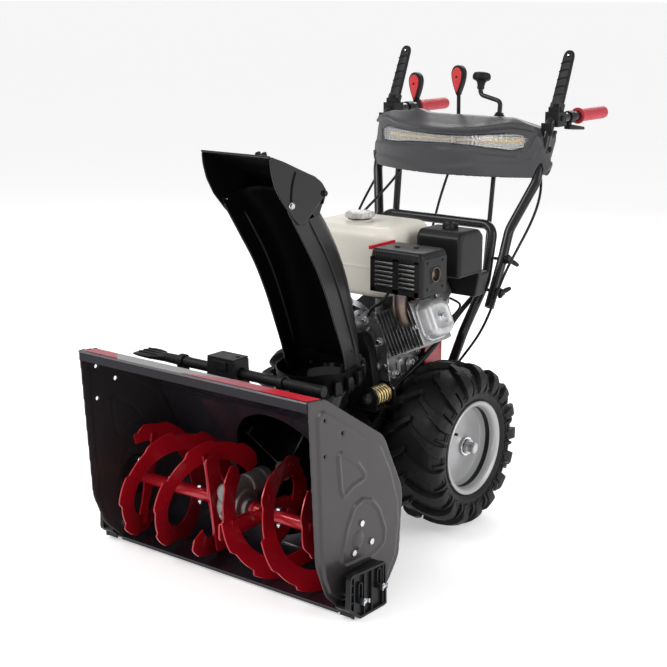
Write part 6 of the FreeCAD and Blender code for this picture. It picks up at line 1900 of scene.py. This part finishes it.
# ---- Cables ----
SIDE_CABLE = [(226, 352, 886), (256, 338, 812), (268, 280, 740), (262, 214, 670), (250, 164, 604),
              (240, 134, 530), (202, 152, 462), (148, 182, 400), (100, 172, 334), (74, 150, 276),
              (66, 129, 224)]
SPEED_CABLE = [(0, 336, 905), (-14, 312, 830), (-26, 284, 752), (-32, 266, 682), (-38, 240, 606),
               (-42, 214, 530), (-42, 192, 450), (-40, 170, 372), (-36, 150, 304), (-30, 129, 240)]
HOOD_CABLE = [(-120, 300, 890), (-134, 258, 820), (-172, 208, 756), (-206, 140, 690), (-212, 60, 630),
              (-198, -24, 580), (-174, -100, 520), (-150, -166, 452), (-136, -214, 384), (-128, -240, 320),
              (-124, -246, 284)]
SHEATH = [(130, -137, 356), (118, -78, 366), (127, 6, 406), (127, 88, 448), (128, 166, 500), (147, 196, 532),
          (151.9, 230.4, 564.2)]


def cable_line(points, steps):
    """A smooth line through the route's inner points, as a B-spline draws it."""
    pts = [Vector(p) for p in points]
    pts = [pts[0] * 2 - pts[1]] + pts + [pts[-1] * 2 - pts[-2]]
    out = []
    for a, b, c, d in zip(pts, pts[1:], pts[2:], pts[3:]):
        for i in range(steps):
            t = i / steps
            out.append(((1 - t) ** 3 * a + (3 * t ** 3 - 6 * t * t + 4) * b
                        + (-3 * t ** 3 + 3 * t * t + 3 * t + 1) * c + t ** 3 * d) / 6)
    out.append((pts[-3] + pts[-2] * 4 + pts[-1]) / 6)
    return out


def sleeved_line(name, points, steps, r, sides, sleeve, reach, stands_for):
    """A cable with a tapered sleeve at each end."""
    bm = bmesh.new()
    line = cable_line(points, steps)
    pipe(bm, line, r, sides)
    for end, inner in ((line[0], line[reach]), (line[-1], line[-1 - reach])):
        lathe(bm, sleeve, end, (inner - end).normalized(), sides + 4)
    made = piece(name, bm, CABLE, None, stands_for)
    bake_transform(made)


def build_cables():
    """Sleeved cables and the crank's flexible shaft."""
    thin = [(3.2, 0), (5.2, 0), (5.4, 1.5), (5.2, 20), (4.4, 24), (3.2, 26)]
    thick = [(6.5, 0), (8.6, 0), (8.9, 2), (8.6, 24), (7.6, 30), (6.5, 32)]
    sleeved_line("drive_cable", SIDE_CABLE, 7, 3.4, 14, thin, 4, ("cables",))
    routes = (("auger_cable", [(-x, y, z) for x, y, z in SIDE_CABLE]), ("speed_cable", SPEED_CABLE),
              ("hood_cable", HOOD_CABLE))
    for name, points in routes:
        sleeved_line(name, points, 7, 3.4, 14, thin, 4, ())
    sleeved_line("crank_flex", SHEATH, 9, 6.6, 18, thick, 5, ("crank_sheath",))


def build_front():
    build_side_plates()
    build_housing()
    both(skid_shoe, "shoe")
    chute_body()
    chute_fittings()
    deflector_hood()
    hood_fittings()
    deflector_bolts()
    ring_gear()
    drive_detail()
    build_tool()
    build_clips()
    build_cables()


# ---- Stage ----
CAMERA_AT = (1.9976, -2.7111, 1.2891)
CAMERA_AZIMUTH = 38.16
CAMERA_DOWN = 13.92
LENS_MM = 74.557
# Half width and height of the floor, in metres; it lies just under the tyres.
FLOOR_HALF, FLOOR_Z = 150.0, -0.0004


def area_light(name, at, aim, size, power):
    """A rectangular lamp aimed at a point."""
    data = bpy.data.lights.new(name, "AREA")
    data.shape = "RECTANGLE"
    data.size, data.size_y = size
    data.energy = power
    obj = bpy.data.objects.new(name, data)
    obj.location = at
    obj.rotation_euler = (Vector(aim) - Vector(at)).to_track_quat("-Z", "Y").to_euler()
    bpy.context.scene.collection.objects.link(obj)


def build_camera(scene):
    """The camera that matches the photograph."""
    data = bpy.data.cameras.new("camera")
    data.lens = LENS_MM
    data.sensor_width = 36.0
    data.clip_end = 400.0
    camera = bpy.data.objects.new("camera", data)
    camera.location = CAMERA_AT
    camera.rotation_euler = (radians(90 - CAMERA_DOWN), 0, radians(CAMERA_AZIMUTH))
    scene.collection.objects.link(camera)
    scene.camera = camera


def build_floor(scene):
    """A pale floor under the tyres."""
    mesh = bpy.data.meshes.new("floor")
    r, z = FLOOR_HALF, FLOOR_Z
    mesh.from_pydata([(-r, -r, z), (r, -r, z), (r, r, z), (-r, r, z)], [], [(0, 1, 2, 3)])
    floor = bpy.data.objects.new("floor", mesh)
    scene.collection.objects.link(floor)
    floor_look = surface("floor_pale", (0.88, 0.88, 0.88), 0.75, tint=0.01, tint_scale=2.0, rough_spread=0.03)
    glow = floor_look.node_tree.nodes["Principled BSDF"].inputs
    glow["Emission Color"].default_value = (1.0, 1.0, 1.0, 1.0)
    glow["Emission Strength"].default_value = 0.42
    mesh.materials.append(floor_look)


def build_sky(scene):
    """White studio sky, bright at the horizon and calmer overhead."""
    world = bpy.data.worlds.new("studio")
    world.use_nodes = True
    tree = world.node_tree
    sky = tree.nodes["Background"]
    sky.inputs["Color"].default_value = (1.0, 1.0, 1.0, 1.0)
    height = tree.nodes.new("ShaderNodeSeparateXYZ")
    tree.links.new(tree.nodes.new("ShaderNodeTexCoord").outputs["Generated"], height.inputs[0])
    band = ramped(tree, height.outputs["Z"], 0.03, 0.2, 1.0, 0.55)
    tree.links.new(band, sky.inputs["Strength"])
    scene.world = world


def build_stage():
    scene = bpy.context.scene
    build_camera(scene)
    build_floor(scene)
    build_sky(scene)
    scene.view_settings.view_transform = "Standard"
    area_light("key", (-1.6, -2.6, 3.4), (0, -0.1, 0.4), (2.4, 1.6), 75)
    area_light("side", (3.6, 0.4, 1.9), (0.2, -0.1, 0.4), (1.8, 2.6), 50)
    area_light("front", (0.9, -4.2, 1.1), (0, -0.4, 0.35), (1.6, 1.2), 26)
    area_light("back", (-1.2, 3.2, 2.8), (0, 0.1, 0.6), (2.6, 1.4), 60)


# ---- Build ----
dress_nodes()
build_wheels()
build_augers()
build_handles()
build_engine()
build_front()
build_stage()
